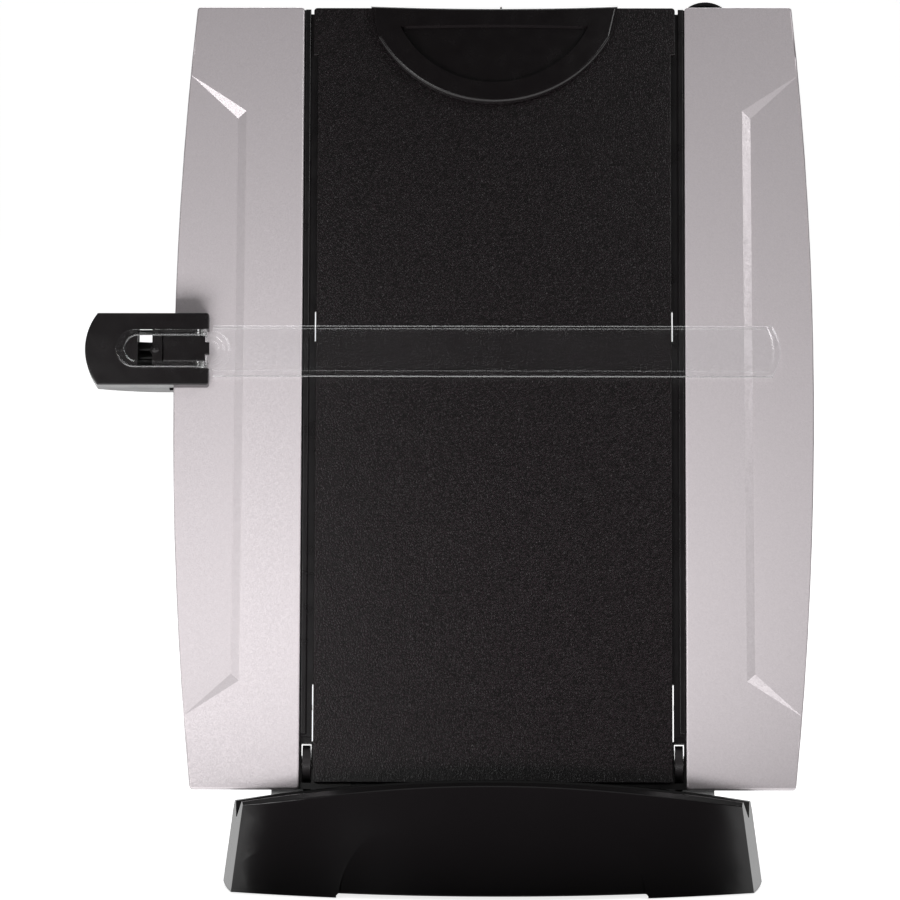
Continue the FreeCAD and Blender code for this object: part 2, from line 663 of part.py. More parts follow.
def deck():
    """Thin plate that carries the skins, with every hole that goes through it."""
    end = BOARD_END_WIDTH / 2 - DECK_INSET
    low = DECK_INSET
    high = BOARD_LENGTH - DECK_INSET
    right = edge_arc(DECK_INSET)
    left = ((-right[0][0], BOARD_MIDDLE), (-end, low))
    shape = outline(facing, (-end, low), (end, low), right, (-end, high), left)
    plate = slab(shape, PANEL_THICKNESS, DECK_BACK)
    plate = rounded(plate, CORNER_ROUND, lambda edge: along(edge, V(0, 1, 0)))
    front, back = PANEL_THICKNESS - 1, DECK_BACK + 1
    slot_inner, slot_outer = snap_slot_x()
    cuts = [panel_notch(front, back)]
    window = (EAR_X - EAR_THICKNESS / 2 - EAR_GAP, EAR_X + EAR_THICKNESS / 2 + EAR_GAP)
    cuts += both_sides(box(*window, front, back, *EAR_WINDOW))
    for span in SNAP_SLOTS:
        cuts += both_sides(box(slot_inner, slot_outer, front, back, *span))
    for up in BOSS_HEIGHTS:
        cuts += both_sides(rod_y(BOSS_RADIUS + BOSS_FIT, front, back, BOSS_X, up))
    notch = box(PANEL_EAR_WIDTH / 2, RAIL_INNER, front, back, BOARD_LENGTH - NOTCH_DEPTH, BOARD_LENGTH + 1)
    cuts += both_sides(notch)
    return plate.cut(Part.makeCompound(cuts))


def channel_rail():
    """Smooth raised rail in the right channel, above the hinge window."""
    top = BOARD_LENGTH - DECK_INSET
    front = PANEL_THICKNESS - RAIL_HEIGHT
    rail = box(RAIL_INNER, RAIL_OUTER, front, PANEL_THICKNESS + ROOTED,
               EAR_WINDOW[1] + RAIL_START, top)
    return rounded(rail, RAIL_ROUND, lambda edge: flat_at(edge, "y", front))


def rib_grid():
    """Moulded stiffening ribs behind the deck: a frame with cross ribs and two long ribs."""
    half = RIB_BOX_HALF_WIDTH
    front = DECK_BACK - ROOTED
    ring = box(-half, half, front, RIB_BACK, RIB_BOX_LOW, RIB_BOX_HIGH)
    ring = rounded(ring, RIB_CORNER, lambda edge: along(edge, V(0, 1, 0)))
    inside = box(-half + RIB_WALL, half - RIB_WALL, front - 1, RIB_BACK + 1,
                 RIB_BOX_LOW + RIB_WALL, RIB_BOX_HIGH - RIB_WALL)
    inside = rounded(inside, RIB_CORNER - RIB_WALL, lambda edge: along(edge, V(0, 1, 0)))
    ribs = [ring.cut(inside)]
    pitch = (RIB_BOX_HIGH - RIB_BOX_LOW) / (RIB_CROSS_COUNT + 1)
    for index in range(1, RIB_CROSS_COUNT + 1):
        up = RIB_BOX_LOW + pitch * index
        ribs.append(box(-half + ROOTED, half - ROOTED, front, RIB_BACK - 1, up - RIB_WALL / 2, up + RIB_WALL / 2))
    long_x = half / 3
    for x in (-long_x, long_x):
        ribs.append(box(x - RIB_WALL / 2, x + RIB_WALL / 2, front, RIB_BACK - 1,
                        RIB_BOX_LOW + ROOTED, RIB_BOX_HIGH - ROOTED))
    return ribs


def rib_wells():
    """Room in the ribs for the wing screws' heads and for the panel's snap hooks to flex."""
    wells = []
    for up in BOSS_HEIGHTS:
        wells += both_sides(rod_y(SCREW_HEAD_RADIUS + SCREW_WELL, DECK_BACK, RIB_BACK + 1, BOSS_X, up))
    inner, outer = snap_slot_x()
    for low, high in SNAP_SLOTS:
        wells += both_sides(box(inner - SNAP_BARB - SNAP_FLEX, outer, DECK_BACK, RIB_BACK + 1, low, high))
        wells += both_sides(box(inner, outer, PANEL_THICKNESS - 1, RIB_BACK + 1, low, high))
    return wells


def window_hoods():
    """Short ribs behind the deck that close the windows above the ears."""
    start = EAR_X - EAR_THICKNESS / 2 - EAR_GAP
    end = EAR_X + EAR_THICKNESS / 2 + EAR_GAP + ROOTED
    low = HINGE_UP + EAR_RADIUS + EAR_GAP
    return both_sides(box(start, end, DECK_BACK - ROOTED, DECK_BACK + HOOD_DEPTH, low, EAR_WINDOW[1] + HOOD_RISE))


def knuckle_spans():
    """Left and right end of the inner and the outer knuckle, beside the right ear."""
    inner_end = EAR_X - EAR_THICKNESS / 2 - TURNING_GAP
    outer_start = EAR_X + EAR_THICKNESS / 2 + WASHER_GAP
    return (inner_end - KNUCKLE_LENGTH, inner_end), (outer_start, outer_start + KNUCKLE_LENGTH)


def knuckles():
    """Bored lugs behind the deck that hold the hinge pins on both sides of the ears."""
    lugs = []
    for left, right in knuckle_spans():
        web = box(left, right, DECK_BACK - ROOTED, HINGE_BACK,
                  HINGE_UP - KNUCKLE_RADIUS, HINGE_UP + KNUCKLE_RADIUS)
        lug = web.fuse(rod_x(KNUCKLE_RADIUS, left, right, HINGE_BACK, HINGE_UP))
        lug = lug.common(box(left, right, PANEL_THICKNESS, RIB_BACK + 9, 0, BOARD_LENGTH))
        lugs += both_sides(lug)
    return lugs


def clip_bosses():
    """Two lugs of the frame that hold the clip's pin, one at each end of the notch."""
    start = CLIP_BOSS_START
    end = start + CLIP_BOSS_WIDTH
    low = CLIP_PIN_UP - CLIP_BOSS_HALF
    high = CLIP_PIN_UP + CLIP_BOSS_HALF
    back = DECK_BACK + CLIP_BOSS_WALL
    upright = box(start, end, SEAT_GAP, back, low, high)
    foot = box(start, end, PANEL_THICKNESS, back, CLIP_NOTCH_LOW - CLIP_BOSS_ROOT, high)
    boss = upright.fuse(foot)
    boss = boss.cut(rod_x(CLIP_PIN_RADIUS + PRESS_GAP, start - 1, end + 1, CLIP_PIN_BACK, CLIP_PIN_UP))
    return both_sides(boss)


def rear_frame():
    """Black moulded frame: deck, channel rails, ribs, hinge knuckles and the slider's rail."""
    half_rail = GUIDE_RAIL_WIDTH / 2
    slider_rail = box(GUIDE_RAIL_X - half_rail, GUIDE_RAIL_X + half_rail, DECK_BACK - ROOTED,
                      DECK_BACK + GUIDE_RAIL_HEIGHT, GUIDE_RAIL_LOW, GUIDE_RAIL_HIGH)
    spindle_boss = rod_y(SPINDLE_BOSS_RADIUS, DECK_BACK - ROOTED, DECK_BACK + SPINDLE_BOSS_LENGTH, KNOB_X, KNOB_UP)
    frame = deck().multiFuse(
        rib_grid() + both_sides(channel_rail()) + window_hoods() + knuckles() + clip_bosses()
        + [slider_rail, spindle_boss])
    pin_left = knuckle_spans()[0][0] - 1
    pin_right = knuckle_spans()[1][1] + 1
    bores = both_sides(rod_x(HINGE_PIN_RADIUS + RUNNING_FIT, pin_left, pin_right, HINGE_BACK, HINGE_UP))
    bores.append(rod_y(SPINDLE_RADIUS + PRESS_GAP, PANEL_THICKNESS - 1, RIB_BACK, KNOB_X, KNOB_UP))
    return frame.cut(Part.makeCompound(rib_wells() + bores)).removeSplitter()


# --- Board hinge: pins and spring washers ---
def hinge_pins():
    """Headed steel pins, one at each ear."""
    (inner_left, _), (_, outer_right) = knuckle_spans()
    head = rod_x(PIN_HEAD_RADIUS, inner_left - PIN_HEAD_LENGTH, inner_left, HINGE_BACK, HINGE_UP)
    head = bevelled(head, HEAD_BEVEL, lambda edge: flat_at(edge, "x", inner_left - PIN_HEAD_LENGTH))
    tip = outer_right + PIN_TIP
    shank = rod_x(HINGE_PIN_RADIUS, inner_left, tip, HINGE_BACK, HINGE_UP)
    shank = bevelled(shank, HEAD_BEVEL, lambda edge: flat_at(edge, "x", tip))
    return both_sides(head.fuse(shank))


def dished_washer(hole, rim, thickness, dish):
    """Belleville washer about the z axis, its small end up."""
    profile = outline(
        facing, (hole, dish), (rim, 0), (rim, thickness), (hole, thickness + dish))
    return Part.Face(profile).revolve(V(0, 0, 0), V(0, 0, 1), 360)


def hinge_spring_washers():
    """Dished washers that press each ear against its knuckle, so the board stays where it is put."""
    (_, _), (outer_left, _) = knuckle_spans()
    rim = HINGE_BACK - DECK_BACK - SEAT_GAP
    rise = WASHER_GAP - 2 * WASHER_PLAY - WASHER_STEEL
    washer = dished_washer(HINGE_PIN_RADIUS + WASHER_FIT, rim, WASHER_STEEL, rise)
    washer = washer.rotated(V(0, 0, 0), V(0, 1, 0), 90)
    start = outer_left - WASHER_GAP + WASHER_PLAY
    return both_sides(washer.translated(V(start, HINGE_BACK, HINGE_UP)))


# --- Top paper clip ---
def clip_outline(inset=0.0):
    top = CLIP_TOP - inset
    return outline(
        facing,
        (-CLIP_TOP_HALF + inset, top),
        ((0, top - CLIP_SAG), (CLIP_TOP_HALF - inset, top)),
        (CLIP_SHOULDER_HALF - inset, CLIP_SHOULDER),
        ((0, CLIP_BOTTOM + inset), (-CLIP_SHOULDER_HALF + inset, CLIP_SHOULDER)),
    )


def clip_bow(depth=0.0, sink=0.0):
    """Solid behind the clip's bowed front, sunk by a depth at the dish's round side and more at its chord."""
    front = depth - CLIP_STAND - CLIP_THICKNESS
    bow = rod_z(CLIP_BOW_RADIUS, CLIP_BOTTOM - 5, CLIP_TOP + 5, 0, front + CLIP_BOW_RADIUS)
    slope = math.degrees(math.atan2(sink - depth, DISH_CHORD - DISH_BOTTOM)) if sink else 0
    return bow.rotated(V(0, front, DISH_BOTTOM), V(1, 0, 0), -slope)


def clip_dish():
    """Finger dish: a half-round field, deepest at its chord and shallow at its round side."""
    front = -(CLIP_STAND + CLIP_THICKNESS)

    def rim(y, inset):
        half = DISH_HALF - inset

        def place(x, z):
            return V(x, y, z)

        return outline(place, (-half, DISH_CHORD - inset / 2),
                       ((0, DISH_BOTTOM + inset / 4), (half, DISH_CHORD - inset / 2)))

    well = Part.makeLoft([rim(front, 0), rim(front + CLIP_THICKNESS, DISH_DRAFT * CLIP_THICKNESS / DISH_DEPTH)],
                         True, True)
    return well.cut(clip_bow(DISH_RUN_OUT, DISH_DEPTH))


def clip_lug(x):
    """Bored lug that reaches back through the notch to the pin."""
    left = x - CLIP_LUG_WIDTH / 2
    right = x + CLIP_LUG_WIDTH / 2
    eye = rod_x(CLIP_LUG_RADIUS, left, right, CLIP_PIN_BACK, CLIP_PIN_UP)
    arm = box(left, right, -CLIP_STAND - ROOTED, CLIP_PIN_BACK, CLIP_PIN_UP - CLIP_LUG_RADIUS,
              CLIP_PIN_UP + CLIP_LUG_RADIUS)
    return eye.fuse(arm)


def top_clip():
    """D-shaped clip plate with a dished finger pad, a jaw rim along its round side and two lugs."""
    front = -(CLIP_STAND + CLIP_THICKNESS)
    plate = slab(clip_outline(), front, -CLIP_STAND)
    plate = rounded(plate, CLIP_CORNER, lambda edge: along(edge, V(0, 1, 0))
                    and edge.BoundBox.ZMax < CLIP_SHOULDER + 1)
    plate = plate.common(clip_bow())
    plate = rounded(plate, CLIP_EDGE_ROUND, lambda edge: edge.BoundBox.YMax < -CLIP_STAND - CLIP_EDGE_ROUND
                    and not along(edge, V(0, 1, 0)))
    rim = slab(clip_outline(CLIP_RIM_INSET), -CLIP_STAND - BEDDED, -CLIP_RIM_STAND).cut(
        slab(clip_outline(CLIP_RIM_INSET + CLIP_RIM), -CLIP_STAND - 1, 0))
    rim = rim.common(box(-CLIP_TOP_HALF, CLIP_TOP_HALF, front, 0, CLIP_BOTTOM, CLIP_RIM_TOP))
    clip = plate.cut(clip_dish()).multiFuse([rim] + [clip_lug(x) for x in (-CLIP_LUG_X, CLIP_LUG_X)])
    bore = rod_x(CLIP_PIN_RADIUS + RUNNING_FIT, -CLIP_TOP_HALF, CLIP_TOP_HALF, CLIP_PIN_BACK, CLIP_PIN_UP)
    return clip.cut(bore).removeSplitter()


def clip_pad():
    """Rubber strip under the clip's round rim, which grips the pages."""
    strip = slab(clip_outline(PAD_INSET), -CLIP_RIM_STAND, -PAD_GAP).cut(
        slab(clip_outline(PAD_INSET + PAD_WIDTH), -CLIP_RIM_STAND - 1, 0))
    reach = CLIP_SHOULDER_HALF * PAD_REACH
    return strip.common(box(-reach, reach, -CLIP_RIM_STAND, 0, CLIP_BOTTOM, CLIP_RIM_TOP - 4))


def clip_pin():
    end = CLIP_BOSS_START + CLIP_BOSS_WIDTH
    return rod_x(CLIP_PIN_RADIUS, -end, end, CLIP_PIN_BACK, CLIP_PIN_UP)


def clip_spring():
    """Torsion spring on the clip's pin: a coil with one leg on the deck and one on the clip."""
    turns = SPRING_TURNS + (SPRING_CLIP_LEG - SPRING_DECK_LEG) / 360
    length = SPRING_PITCH * turns
    helix = Part.makeHelix(SPRING_PITCH, length, SPRING_RADIUS)
    helix = helix.rotated(V(0, 0, 0), V(0, 1, 0), 90).rotated(V(0, 0, 0), V(1, 0, 0), 90 + SPRING_DECK_LEG)

    def heading(degrees):
        angle = math.radians(degrees)
        around = V(0, -math.sin(angle), math.cos(angle)) * SPRING_RADIUS
        return (around + V(SPRING_PITCH / (2 * math.pi), 0, 0)).normalize()

    first, last = (vertex.Point for vertex in (helix.Vertexes[0], helix.Vertexes[-1]))
    deck_tip = first - heading(SPRING_DECK_LEG) * SPRING_DECK_REACH
    clip_tip = last + heading(SPRING_CLIP_LEG) * SPRING_CLIP_REACH
    path = Part.Wire([Part.makeLine(deck_tip, first)] + helix.Edges + [Part.makeLine(last, clip_tip)])
    across = V(1, 0, 0)
    along_leg = heading(SPRING_DECK_LEG)
    up = along_leg.cross(across).normalize()
    across = up.cross(along_leg)
    turns_of_flat = [2 * math.pi * flat / SPRING_WIRE_FLATS for flat in range(SPRING_WIRE_FLATS)]
    corners = [deck_tip + (across * math.cos(turn) + up * math.sin(turn)) * SPRING_WIRE
               for turn in turns_of_flat]
    section = Part.makePolygon(corners + corners[:1])
    wire = path.makePipeShell([section], True, False)
    return wire.translated(V(-length / 2, CLIP_PIN_BACK, CLIP_PIN_UP))


# --- Knob ---
def top_knob():
    """Round knob, hollow and rimmed on the side that faces the board, with V flutes round its grip."""
    front = DECK_BACK + SPINDLE_BOSS_LENGTH + KNOB_GAP
    back = front + KNOB_LENGTH
    body = rod_y(KNOB_RADIUS, front, back, KNOB_X, KNOB_UP)
    body = rounded(body, KNOB_END_ROUND, lambda edge: flat_at(edge, "y", back))
    hollow = rod_y(KNOB_RADIUS - KNOB_RIM, front - 1, front + KNOB_HOLLOW, KNOB_X, KNOB_UP)
    hub = rod_y(KNOB_HUB_RADIUS, front, back, KNOB_X, KNOB_UP)
    body = body.cut(hollow).fuse(hub)
    flute = box(-KNOB_FLUTE / 2, KNOB_FLUTE / 2, front + KNOB_HOLLOW + KNOB_SKIRT, back + 1,
                -KNOB_FLUTE / 2, KNOB_FLUTE / 2).rotated(V(0, 0, 0), V(0, 1, 0), 45)
    flute = flute.translated(V(KNOB_X + KNOB_RADIUS + KNOB_FLUTE * FLUTE_OUT, 0, KNOB_UP))
    flutes = [flute.rotated(V(KNOB_X, 0, KNOB_UP), V(0, 1, 0), 360 * (index + 0.5) / KNOB_FLUTES)
              for index in range(KNOB_FLUTES)]
    bore = rod_y(SPINDLE_RADIUS + RUNNING_FIT, front - 1, back + 1, KNOB_X, KNOB_UP)
    return body.cut(Part.makeCompound(flutes + [bore]))


def knob_back():
    return DECK_BACK + SPINDLE_BOSS_LENGTH + KNOB_GAP + KNOB_LENGTH


def knob_spring_washer():
    washer = dished_washer(SPINDLE_RADIUS + WASHER_FIT, SPINDLE_HEAD_RADIUS, KNOB_WASHER_STEEL,
                           KNOB_WASHER_THICKNESS - KNOB_WASHER_STEEL)
    washer = washer.rotated(V(0, 0, 0), V(1, 0, 0), -90)
    return washer.translated(V(KNOB_X, knob_back() + SEAT_GAP, KNOB_UP))


def knob_spindle():
    """Headed steel spindle pressed into the frame's boss."""
    head_front = knob_back() + KNOB_WASHER_THICKNESS + 2 * SEAT_GAP
    head_back = head_front + SPINDLE_HEAD_LENGTH
    head = rod_y(SPINDLE_HEAD_RADIUS, head_front, head_back, KNOB_X, KNOB_UP)
    head = bevelled(head, HEAD_BEVEL, lambda edge: flat_at(edge, "y", head_back))
    return head.fuse(rod_y(SPINDLE_RADIUS, PANEL_THICKNESS + SEAT_GAP, head_front, KNOB_X, KNOB_UP))


# --- Slider ---
def slider_outline(inset=0.0, right=SLIDER_RIGHT):
    half = SLIDER_HEIGHT / 2 - inset
    return outline(
        facing,
        (right - inset, -half),
        (right - inset, half),
        (SLIDER_CORNER + inset, half),
        ((SLIDER_APEX + inset, 0), (SLIDER_CORNER + inset, -half)),
    )


def slider_plate():
    """Front half of the slider: a rounded cover with a window, a snap tongue and the pin's notch."""
    plate = slab(slider_outline(), PLATE_FRONT, PLATE_BACK)
    plate = rounded(plate, SLIDER_CORNER_ROUND, lambda edge: along(edge, V(0, 1, 0))
                    and edge.BoundBox.XMin > SLIDER_RIGHT - 1)
    plate = rounded(plate, SLIDER_ROUND, lambda edge: flat_at(edge, "y", PLATE_FRONT))
    inner_front = PLATE_FRONT + SLIDER_WALL
    hollow = slab(slider_outline(SLIDER_WALL), inner_front, PLATE_BACK)
    keep = box(NOTCH_X - SLIDER_WALL, SLIDER_RIGHT, PLATE_FRONT, PLATE_BACK, -SLIDER_HEIGHT, SLIDER_HEIGHT)
    plate = plate.cut(hollow.cut(keep))
    pillars = [rod_y(SLIDER_PILLAR_RADIUS, inner_front - ROOTED, PLATE_BACK, SLIDER_SCREW_X, up)
               for up in (-SLIDER_SCREW_UP, SLIDER_SCREW_UP)]
    bump = Part.makeSphere(TAB_BUMP_RADIUS, V(TAB_BUMP_X, PLATE_FRONT - TAB_BUMP_RISE + TAB_BUMP_RADIUS, 0))
    plate = plate.multiFuse(pillars + [bump])
    front = PLATE_FRONT - 2
    cuts = [
        box(*WINDOW_X, front, inner_front + ROOTED, -WINDOW_HALF, WINDOW_HALF),
        box(TAB_SLOT_X - TAB_SLOT, TAB_SLOT_X, front, inner_front + ROOTED, -TONGUE_HALF, TONGUE_HALF),
        box(NOTCH_X, SLIDER_RIGHT + 1, front, PLATE_BACK + 1, -NOTCH_HALF, NOTCH_HALF),
        rod_z(GUIDE_PIN_RADIUS + PRESS_GAP, -GUIDE_PIN_HALF, GUIDE_PIN_HALF, GUIDE_PIN_X, -GUIDE_PIN_FRONT),
    ]
    for up in (-SLIDER_SCREW_UP, SLIDER_SCREW_UP):
        cuts.append(rod_y(SCREW_RADIUS + PRESS_GAP, inner_front, PLATE_BACK + 1, SLIDER_SCREW_X, up))
    plate = plate.cut(Part.makeCompound(cuts)).fuse(slider_tongue())
    return plate.translated(V(0, 0, SLIDER_UP))


def slider_tongue():
    """Raised tongue between the memo clip's legs; its thin end bridges the notch over the guide's barrel."""
    front = PLATE_FRONT - TONGUE_RISE
    face = outline(
        facing,
        (TAB_SLOT_X, -TONGUE_HALF),
        (TONGUE_END, -TONGUE_HALF),
        (TONGUE_END, -TONGUE_TIP_HALF),
        (TONGUE_END + TONGUE_TIP, -TONGUE_TIP_HALF),
        (TONGUE_END + TONGUE_TIP, TONGUE_TIP_HALF),
        (TONGUE_END, TONGUE_TIP_HALF),
        (TONGUE_END, TONGUE_HALF),
        (TAB_SLOT_X, TONGUE_HALF),
    )
    tongue = slab(face, front, front + TONGUE_BRIDGE)
    return bevelled(tongue, TONGUE_BEVEL, lambda edge: flat_at(edge, "y", front))


def jaw_profile(inset=0.0):
    """Section of the rear jaw seen from above the board: a bulged back and a tongue behind the deck."""
    back = JAW_BACK - inset
    bulge = (JAW_BULGE_X, JAW_BULGE_BACK - inset)
    return outline(
        plan,
        (SLIDER_APEX + inset, PLATE_BACK),
        (THROAT_X - inset, PLATE_BACK),
        (THROAT_X - inset, JAW_FRONT),
        (JAW_RIGHT, JAW_FRONT),
        (JAW_RIGHT, back - JAW_BEVEL[1]),
        (JAW_RIGHT - JAW_BEVEL[0], back),
        (THROAT_X - JAW_STRAIGHT, back),
        (bulge, (SLIDER_APEX + inset, PLATE_BACK + JAW_END)),
    )


def slider_jaw():
    """Rear half of the slider: wraps round the board's edge and runs on the rail behind the deck."""
    half = SLIDER_HEIGHT / 2
    jaw = extruded(jaw_profile(), V(0, 0, 1), -half, half)
    jaw = jaw.common(slab(slider_outline(0.0, JAW_RIGHT), PLATE_BACK - 1, JAW_BACK + 1))
    pocket = extruded(jaw_profile(JAW_WALL), V(0, 0, 1), -half + JAW_WALL, half - JAW_WALL)
    pocket = pocket.common(box(SLIDER_APEX, THROAT_X - JAW_WALL, PLATE_BACK, JAW_BACK, -half, half))
    pillars = [rod_y(SLIDER_PILLAR_RADIUS, PLATE_BACK, JAW_BACK, SLIDER_SCREW_X, up)
               for up in (-SLIDER_SCREW_UP, SLIDER_SCREW_UP)]
    webs = [box(*WINDOW_X, PLATE_BACK, JAW_BACK, up - JAW_WEB / 2, up + JAW_WEB / 2) for up in JAW_WEB_HEIGHTS]
    jaw = jaw.cut(pocket.cut(Part.makeCompound(pillars + webs)))
    groove_half = GUIDE_RAIL_WIDTH / 2 + SLIDER_GAP
    leaf_half = LEAF_LENGTH / 2 + LEAF_GAP
    cuts = [
        box(GUIDE_RAIL_X - groove_half, GUIDE_RAIL_X + groove_half, JAW_FRONT - 1,
            DECK_BACK + GUIDE_RAIL_HEIGHT + SLIDER_GAP, -half - 1, half + 1),
        box(*WINDOW_X, PLATE_BACK - 1, JAW_BACK + 1, *JAW_WINDOW),
        box(LEAF_X - leaf_half, LEAF_X + leaf_half, JAW_FRONT - 1, JAW_FRONT + LEAF_POCKET,
            -LEAF_WIDTH / 2 - LEAF_GAP, LEAF_WIDTH / 2 + LEAF_GAP),
    ]
    for up in (-SLIDER_SCREW_UP, SLIDER_SCREW_UP):
        cuts.append(rod_y(SCREW_RADIUS + SCREW_PASS, PLATE_BACK - 1, JAW_BACK + 1, SLIDER_SCREW_X, up))
        cuts.append(rod_y(SLIDER_HEAD_RADIUS + SLIDER_HEAD_GAP, screw_seat(), JAW_BACK + 1, SLIDER_SCREW_X, up))
    jaw = jaw.cut(Part.makeCompound(cuts))
    return jaw.translated(V(0, 0, SLIDER_UP))


def screw_seat():
    """Depth at which the slider screws' heads bear in the jaw."""
    return PLATE_BACK + SLIDER_SEAT


def slider_screws():
    screws = []
    for up in (-SLIDER_SCREW_UP, SLIDER_SCREW_UP):
        head = rod_y(SLIDER_HEAD_RADIUS, screw_seat(), screw_seat() + SLIDER_HEAD_HEIGHT, SLIDER_SCREW_X, up)
        shank = rod_y(SCREW_RADIUS, PLATE_FRONT + SLIDER_WALL + SCREW_END_GAP, screw_seat(), SLIDER_SCREW_X, up)
        screws.append(head.fuse(shank).translated(V(0, 0, SLIDER_UP)))
    return screws


def slider_spring():
    """Bowed steel leaf in the jaw that drags on the deck, so the slider stays where it is put."""
    left = LEAF_X - LEAF_LENGTH / 2
    right = LEAF_X + LEAF_LENGTH / 2
    seat = JAW_FRONT + LEAF_POCKET
    crown = JAW_FRONT
    leaf = outline(
        plan,
        (left, seat),
        ((LEAF_X, crown + LEAF_THICKNESS), (right, seat)),
        (right, seat - LEAF_THICKNESS),
        ((LEAF_X, crown), (left, seat - LEAF_THICKNESS)),
    )
    half = LEAF_WIDTH / 2
    return extruded(leaf, V(0, 0, 1), -half, half).translated(V(0, 0, SLIDER_UP))


def guide_pin():
    return rod_z(GUIDE_PIN_RADIUS, -GUIDE_PIN_HALF, GUIDE_PIN_HALF, GUIDE_PIN_X,
                 -GUIDE_PIN_FRONT).translated(V(0, 0, SLIDER_UP))


# --- Line guide ---
def guide_outline(inset=0.0):
    """Strip with a rounded far end, drawn about the slider's centre line."""
    half = GUIDE_HEIGHT / 2 - inset
    radius = GUIDE_END_RADIUS - inset
    centre = GUIDE_APEX - GUIDE_END_RADIUS
    end = centre + math.sqrt(radius ** 2 - half ** 2)
    return outline(
        facing,
        (GUIDE_LEFT, -half),
        (end, -half),
        ((centre + radius, 0), (end, half)),
        (GUIDE_LEFT, half),
    )


def guide_bead():
    """Raised bead round the far end, thick in the middle and running out at the corners."""
    front = -(WING_PROUD + GUIDE_GAP + GUIDE_THICKNESS)
    bead = slab(guide_outline(), front - GUIDE_BEAD_RISE, front + BEDDED)
    hollow_radius = GUIDE_END_RADIUS + GUIDE_BEAD
    hollow = rod_y(hollow_radius, front - GUIDE_BEAD_RISE - 1, front + 1,
                   GUIDE_APEX - GUIDE_BEAD - hollow_radius, 0)
    bead = bead.cut(hollow)
    bead = bead.common(box(GUIDE_APEX - GUIDE_END_RADIUS, GUIDE_APEX, front - GUIDE_BEAD_RISE, 0,
                           -GUIDE_HEIGHT, GUIDE_HEIGHT))
    return bevelled(bead, GUIDE_BEAD_BEVEL, lambda edge: flat_at(edge, "y", front - GUIDE_BEAD_RISE))


def guide_rings(room):
    """Round beads moulded on the root, half of each ring lying on the strip."""
    front = -(WING_PROUD + GUIDE_GAP + GUIDE_THICKNESS)
    rings = []
    for radius in RING_RADII:
        half_disc = outline(plan, (radius - RING_BEAD, BEDDED), (radius - RING_BEAD, 0),
                            ((radius, -RING_BEAD), (radius + RING_BEAD, 0)), (radius + RING_BEAD, BEDDED))
        ring = Part.Face(half_disc).revolve(V(0, 0, 0), V(0, 1, 0), 360)
        rings.append(ring.translated(V(GUIDE_ROOT_X, front, 0)).common(room))
    return rings


def line_guide():
    """Clear strip with a ridge along each side, a bead round its far end and a hinged, ringed root."""
    back = -(WING_PROUD + GUIDE_GAP)
    front = back - GUIDE_THICKNESS
    half = GUIDE_HEIGHT / 2
    strip = slab(guide_outline(), front, back)
    long_end = GUIDE_APEX - GUIDE_BEAD
    ridge_front = front - GUIDE_RIDGE_RISE
    ridges = [box(GUIDE_LEFT, long_end, ridge_front, front + BEDDED, half - GUIDE_TOP_RIDGE, half),
              box(GUIDE_LEFT, long_end, ridge_front, front + BEDDED, -half, -half + GUIDE_LOW_RIDGE)]
    ridges = [ridge.common(slab(guide_outline(), ridge_front, back)) for ridge in ridges]
    root_half = NOTCH_HALF - ROOT_PLAY
    root = box(GUIDE_ROOT_X, GUIDE_LEFT + 1, front, back, -root_half, root_half)
    room = box(GUIDE_ROOT_X, GUIDE_LEFT + half, PLATE_FRONT, back, -root_half, root_half)
    room = room.fuse(box(GUIDE_LEFT, GUIDE_LEFT + half, PLATE_FRONT, back, -half, half))
    web = box(GUIDE_PIN_X, GUIDE_LEFT, front - 0.2, back, -BARREL_HALF, BARREL_HALF)
    barrel = rod_z(BARREL_RADIUS, -BARREL_HALF, BARREL_HALF, GUIDE_PIN_X, -GUIDE_PIN_FRONT)
    guide = joined([strip, root, web, barrel, guide_bead()] + ridges + guide_rings(room))
    guide = guide.cut(rod_z(GUIDE_PIN_RADIUS + RUNNING_FIT, -GUIDE_HEIGHT, GUIDE_HEIGHT, GUIDE_PIN_X,
                            -GUIDE_PIN_FRONT))
    return guide.translated(V(0, 0, SLIDER_UP))


# --- Memo clip ---
def memo_clip():
    """Clear hairpin loop: two legs over the slider plate and a thick rounded end."""
    back = PLATE_FRONT - MEMO_GAP
    front = back - MEMO_THICKNESS
    outer = MEMO_RADIUS
    inner = MEMO_INNER_RADIUS
    loop = slab(outline(
        facing,
        (MEMO_RIGHT, outer),
        (MEMO_CENTRE_X, outer),
        ((MEMO_CENTRE_X - outer, 0), (MEMO_CENTRE_X, -outer)),
        (MEMO_RIGHT, -outer),
        (MEMO_RIGHT, -inner - MEMO_TAPER),
        (MEMO_INNER_X, -inner),
        ((MEMO_INNER_X - inner, 0), (MEMO_INNER_X, inner)),
        (MEMO_RIGHT, inner + MEMO_TAPER),
    ), front, back)
    loop = rounded(loop, MEMO_ROUND, lambda edge: flat_at(edge, "y", front))
    lugs = []
    for low, high in ((LUG_INNER, MEMO_RADIUS), (-MEMO_RADIUS, -LUG_INNER)):
        lugs.append(rod_z(LUG_RADIUS, low, high, GUIDE_PIN_X, -GUIDE_PIN_FRONT))
        lugs.append(box(GUIDE_PIN_X - LUG_RADIUS, MEMO_RIGHT, back - ROOTED, -GUIDE_PIN_FRONT, low, high))
    clip = joined([loop] + lugs)
    clip = clip.cut(rod_z(GUIDE_PIN_RADIUS + RUNNING_FIT, -GUIDE_HEIGHT, GUIDE_HEIGHT, GUIDE_PIN_X,
                          -GUIDE_PIN_FRONT))
    return clip.translated(V(0, 0, SLIDER_UP))


